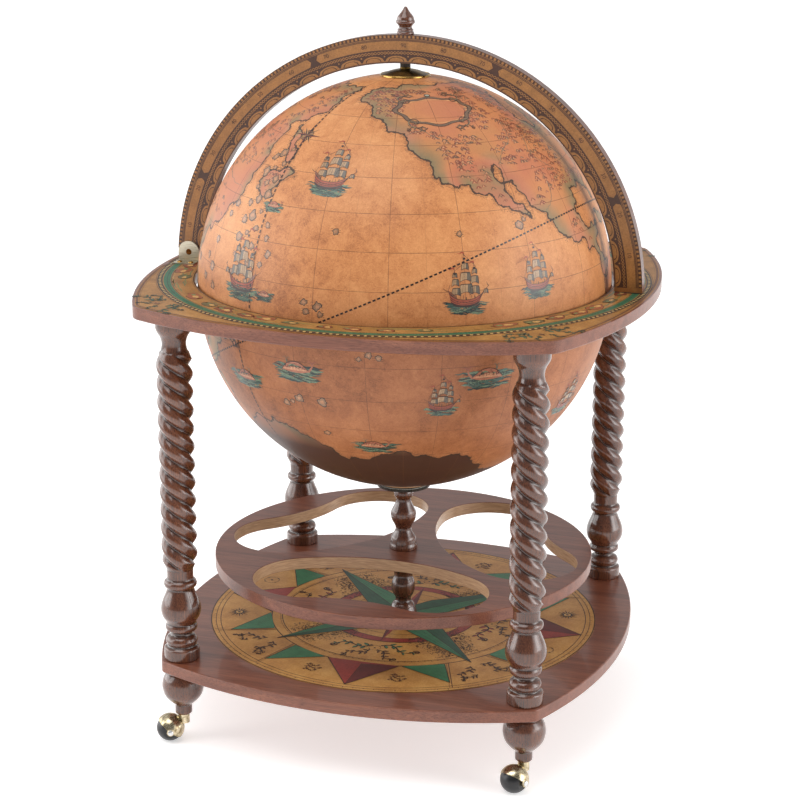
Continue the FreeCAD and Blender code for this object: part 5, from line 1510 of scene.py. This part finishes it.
def horizonPrint():
    # the sheet is a ring from the opening to the board's outline: r = opening + s (outline(angle) -
    # opening)
    angle, outline = boardOutline("horizon_print", 340)
    angle, outline = angle[:-1], outline[:-1]
    s = np.linspace(0, 1, 14)[:, None]
    r = (ring["opening"] + s * (outline - ring["opening"])) / 1000
    top = np.full_like(r, ring["top"])
    points = np.stack([r * np.cos(angle * deg), r * np.sin(angle * deg), top], -1)
    lower = points[[-1, 0]] - [0, 0, 0.0004]
    loop = np.concatenate([points, lower])
    sheet = meshFromGrid("horizonPrintSheet", loop, ringPaper, closeAround=True, closeAlong=True)
    sheet.data.set_sharp_from_angle(angle=30 * deg)
    settle(sheet, "stand", "printed_paper", "horizon_print")
    green, beads = ring["green"], ring["beads"]
    bands = [arcBand(304.2, 306.2, 0, 360, "3A2418", 0), arcBand(307.4, 308.0, 0, 360, "5A3A24", 0),
             arcBand(green[0] - 1.8, green[0] - 1.0, 0, 360, "4A3020", 1),
             arcBand(*green, 0, 360, "2C6648", 1),
             arcBand(green[0] + 4.4, green[0] + 5.2, 0, 360, "22382C", 2),
             arcBand(*beads, 0, 360, "2A221E", 1),
             arcBand(beads[1] + 1.2, beads[1] + 1.8, 0, 360, "4A3020", 1)]
    for a in np.arange(0, 360, 1.5):
        x, y = polar((beads[0] + beads[1]) / 2, a)
        bands.append(ellipse(x, y, 4.6, 4.6, "C9A869", 2, count=5))
    for k in range(48):  # little charts and coasts between the opening and the green ring
        a = k * 7.5 + 3
        if k % 12 in (3, 4):
            continue
        x, y = polar(318.5 + 6 * hashNoise(k, 3, 2), a + 4 * hashNoise(k, 1, 2))
        size = 11 + 7 * hashNoise(k, 2, 2)
        tone = ("83452C", "925434", "5F5A38", "7A4029")[k % 4]
        island = [blob(0, 0, size * 1.05, "4A2A1C", 1, k, 0.6, 21),
                  blob(0, 0, size * 0.97, tone, 2, k, 0.6, 21),
                  blob(size * 0.3, 0, size * 0.42, "C49A5C", 3, k + 3, 0.6),
                  blob(-size * 0.5, 1, size * 0.3, "6E7A4E", 3, k + 5, 0.6)]
        bands += moveBands(island, x, y, (a + 90) * deg)
    for k in range(120):  # long thin washes of green and olive along the ring
        a = hashNoise(k, 1, 8) * 360
        r = 310 + 25 * hashNoise(k, 2, 8)
        reach = 2 + 5 * hashNoise(k, 3, 8)
        t = np.linspace(a - reach, a + reach, 9) * deg
        wave = r + 0.8 * np.sin(t * 90 + k)
        tone = ("6F7D4A", "54704F", "A97E45", "8A6A3A", "B98F52")[k % 5]
        bands.append(stroke(np.stack([wave * np.cos(t), wave * np.sin(t)], -1), 1.7, tone, 0, (0.1, 0.1),
                            9))
    # border along the board's own outline, and leaves in the four corners
    wide = np.concatenate([angle, [angle[0] + 360]])
    reach = np.concatenate([outline, outline[:1]])
    path = np.stack([np.cos(wide * deg), np.sin(wide * deg)], -1)
    bands.append(band(path * (reach - 4.6)[:, None], path * (reach - 1.2)[:, None], "6A4128", 1))
    bands.append(band(path * (reach - 6.6)[:, None], path * (reach - 6.0)[:, None], "7A5230", 1))
    for k in range(4):
        middle = 45 + 90 * k
        for side in (-1, 1):
            for start, length, spread in ((371, 46, 62), (366, 34, 84), (388, 20, 30)):
                x, y = polar(start, middle + side * (2 if start < 380 else 1.2))
                leaf = flourish(length * 1.15, "24382F", "48684C", 2, 2.4, k + start)
                bands += moveBands(leaf, x, y, (middle + side * spread) * deg)
        x, y = polar(384, middle)
        bands += moveBands(windStar(9.5), x, y, middle * deg)
    inkMesh("horizonPrintFigures", bands, FlatPlace((0, 0, ring["top"]), (1, 0, 0), (0, 1, 0)), flatInk,
            "stand", "printed_paper")


disc = {"inner": 21.15, "outer": 291.8, "top": 0.1298, "ink": "2A1A14", "green": "2F6B45",
        "deepGreen": "1C4A30",
        "red": "8E2F24", "deepRed": "5E1B16"}


def blankSun(size):
    # a disc with sixteen wavy and straight rays, and no face
    bands = [ellipse(0, 0, size, size, "2A1A14", 3, count=16),
             ellipse(0, 0, size * 0.72, size * 0.72, "C08E48", 4, count=14),
             ellipse(0, 0, size * 0.3, size * 0.3, "2A1A14", 5, count=10)]
    for k in range(16):
        inner, tip = polar(size * 0.52, k * 22.5), polar(size * (1.18 if k % 2 else 0.98), k * 22.5)
        bands.append(stroke([inner, tip], size * 0.13, "2A1A14", 3, (1, 0.15)))
    return bands


def orbitMark(size):
    bands = [arcBand(size * 0.94, size * 1.0, 0, 360, "2A1A14", 3, 12),
             ellipse(0, 0, size * 0.36, size * 0.36, "2A1A14", 3, count=10)]
    for k in range(4):
        x, y = polar(size * 0.97, k * 90 + 45)
        bands.append(ellipse(x, y, size * 0.24, size * 0.24, "2A1A14", 4, count=8))
    return bands


def shelfDisc():
    angle = np.linspace(0, 2 * np.pi, 360, endpoint=False)
    r = np.concatenate([[disc["inner"]], np.linspace(24, disc["outer"], 12),
                        [disc["outer"], disc["inner"]]]) / 1000
    z = np.concatenate([np.full(13, disc["top"]), [disc["top"] - 0.0004] * 2])
    points = np.stack([r[:, None] * np.cos(angle), r[:, None] * np.sin(angle),
                       np.repeat(z[:, None], 360, 1)], -1)
    sheet = meshFromGrid("shelfDiscSheet", points, discPaper, closeAround=True, closeAlong=True)
    sheet.data.set_sharp_from_angle(angle=30 * deg)
    settle(sheet, "stand", "printed_paper", "shelf_print")
    ink, red, deepRed, green, deepGreen = (disc[key] for key in
                                           ("ink", "red", "deepRed", "green", "deepGreen"))
    bands = [arcBand(290.2, 291.7, 0, 360, ink, 1, 1), arcBand(283.4, 284.2, 0, 360, ink, 1, 1),
             arcBand(276.4, 277.4, 0, 360, ink, 1, 1),
             arcBand(183.0, 184.2, 0, 360, ink, 1, 1), arcBand(198.8, 200.4, 0, 360, ink, 1, 1),
             arcBand(186.4, 187.0, 0, 360, "7A4C26", 1, 1),
             arcBand(99.5, 113.5, 0, 360, red, 1, 1), arcBand(98.4, 99.6, 0, 360, ink, 2, 1),
             arcBand(113.0, 114.6, 0, 360, ink, 2, 1),
             arcBand(82.6, 83.4, 0, 360, ink, 1, 1), arcBand(62.0, 62.7, 0, 360, ink, 1, 1)]
    for a in range(0, 360, 3):  # tick marks of the rim and of the inner ring
        long = 4.6 if a % 15 == 0 else 2.4
        bands.append(stroke([polar(284.2, a), polar(284.2 + long, a)], 0.9, ink, 1))
        bands.append(stroke([polar(184, a), polar(184 + (5.5 if a % 15 == 0 else 3), a)], 0.8, "4A2C1A", 1))
    for k in range(4):
        # thin red points along the axes and broad green rays between them, each in two halves
        a = 90 * k
        for side, tone in ((-1, deepRed), (1, red)):
            bands.append(band([polar(22, a), polar(30, a)], [polar(34, a + side * 17), polar(111, a)], tone,
                              4))
        bands.append(stroke([polar(22, a), polar(112, a)], 0.7, ink, 5))
        a = 45 + 90 * k
        for side, tone in ((-1, green), (1, deepGreen)):
            edge = [polar(22, a + side * 60), polar(70, a + side * 22.5), polar(211, a)]
            bands.append(band([polar(22, a), polar(64, a), polar(211, a)], edge, tone, 6))
            bands.append(stroke([edge[1], edge[2]], 1.2, ink, 7))
            bands.append(stroke([edge[0], edge[1]], 1.2, ink, 7))
            for share in (0.3, 0.62):
                bands.append(stroke([polar(70, a + side * 22.5 * share), polar(205, a)], 0.5, "12301F", 7))
        bands.append(stroke([polar(22, a), polar(211, a)], 1.3, ink, 8))
        # stippled shade along both sides of each ray
        n = np.arange(700)
        side = np.where(n % 2, 1, -1)
        along = 92 + 86 * hashNoise(n, 1, k)
        away = np.abs(hashNoise(n, 2, k) + hashNoise(n, 3, k) - 1) * 30
        base = 27 * (211 - along) / 141
        px, py = along, side * (base + 1.5 + away)
        dotted = np.hypot(px, py) < 180
        spin = a * deg
        for x, y, size in zip(px[dotted], py[dotted], (0.75 + 0.9 * hashNoise(n, 4, k))[dotted]):
            cx, cy = x * math.cos(spin) - y * math.sin(spin), x * math.sin(spin) + y * math.cos(spin)
            bands.append(band([(cx - size, cy), (cx, cy - size * 0.7)],
                              [(cx, cy + size * 0.7), (cx + size, cy)], "2A1C14", 2))
        # red outer points on the axes, each halved by a line
        a = 90 * k
        bands.append(band([polar(200.5, a - 15.5), polar(194, a), polar(200.5, a + 15.5)],
                          [polar(200.6, a - 15.4), polar(276, a), polar(200.6, a + 15.4)], red, 3))
        bands.append(band([polar(200.6, a), polar(238, a)], [polar(200.5, a + 15.5), polar(276, a)],
                          deepRed, 4))
        for side in (-1, 1):
            bands.append(stroke([polar(200.5, a + side * 15.6), polar(277, a)], 1.3, ink, 5))
        bands.append(stroke([polar(200.5, a), polar(277, a)], 0.8, ink, 5))
        # green outer points beside the corner panels, and the panels' double lines
        for side in (-1, 1):
            foot, tip, near = (polar(201.5, 90 * k + side * 34.5), polar(266, 90 * k + side * 31.6),
                               polar(201.5, 90 * k + side * 16.8))
            bands.append(band([foot, foot], [tip, near], "347049", 3))
            for p, q in ((foot, tip), (tip, near)):
                bands.append(stroke([p, q], 1.1, ink, 4))
            bands.append(stroke([polar(200.4, 90 * k + side * 36.2), polar(283, 90 * k + side * 31.4)], 1.0,
                                ink, 3))
            bands.append(stroke([polar(200.4, 90 * k + side * 35.4), polar(283, 90 * k + side * 30.6)], 0.6,
                                "7A4C26", 3))
            x, y = polar(250, 90 * k + side * 16.4)
            mark = blankSun(15) if k % 2 == 0 and side > 0 else orbitMark(12) if k % 2 == 0 else []
            bands += moveBands(mark, x, y, (90 * k) * deg)
            if not mark:
                x, y = polar(243, 90 * k + side * 15.2)
                for row in (-1, 0, 1):
                    wave = moveBands(flourish(26 - 5 * abs(row), "3A2216", "7E4A2C", 3, 1.3, row + k), x, y,
                                     (90 * k + 90) * deg)
                    shift = polar(row * 8.5, 90 * k)
                    bands += [(lower + shift, upper + shift, colour, layer) for lower, upper, colour,
                              layer in
                              moveBands(wave, -12 * math.cos((90 * k + 90) * deg),
                                        -12 * math.sin((90 * k + 90) * deg))]
            # scrolls in the corner panels
            start = polar(222, 45 + 90 * k + side * 2.2)
            bands += moveBands(flourish(46, "2A1A12", "5A3A22", 3, 1.8, k * 2 + side), start[0], start[1],
                               (45 + 90 * k + side * 42) * deg)
            start = polar(252, 45 + 90 * k + side * 3.0)
            bands += moveBands(flourish(32, "2A1A12", "5A3A22", 3, 1.6, k * 3 + side), start[0], start[1],
                               (45 + 90 * k + side * 74) * deg)
        # the field between the rays: a big pair of scrolls with leaves, red and green in turn
        a = 90 * k
        for side in (-1, 1):
            start = polar(130, a + side * 3)
            tone, leafTone = ("2A1A14", "8E3A2A") if k % 2 == 0 else ("2A1A14", "3E6B48")
            bands += moveBands(flourish(62, tone, leafTone, 3, 2.8, k), start[0], start[1],
                               (a + side * 78) * deg)
            start = polar(148, a + side * 2)
            bands += moveBands(flourish(46, tone, "6A4426", 3, 2.3, k + 4), start[0], start[1],
                               (a + side * 50) * deg)
        x, y = polar(140, a)
        bands += moveBands(orbitMark(9), x, y)
    inkMesh("shelfDiscFigures", bands, FlatPlace((0, 0, disc["top"]), (1, 0, 0), (0, 1, 0)), flatInk,
            "stand", "printed_paper")


meridianPrint()
horizonPrint()
shelfDisc()
print("meridian, horizon ring and shelf disc printed")
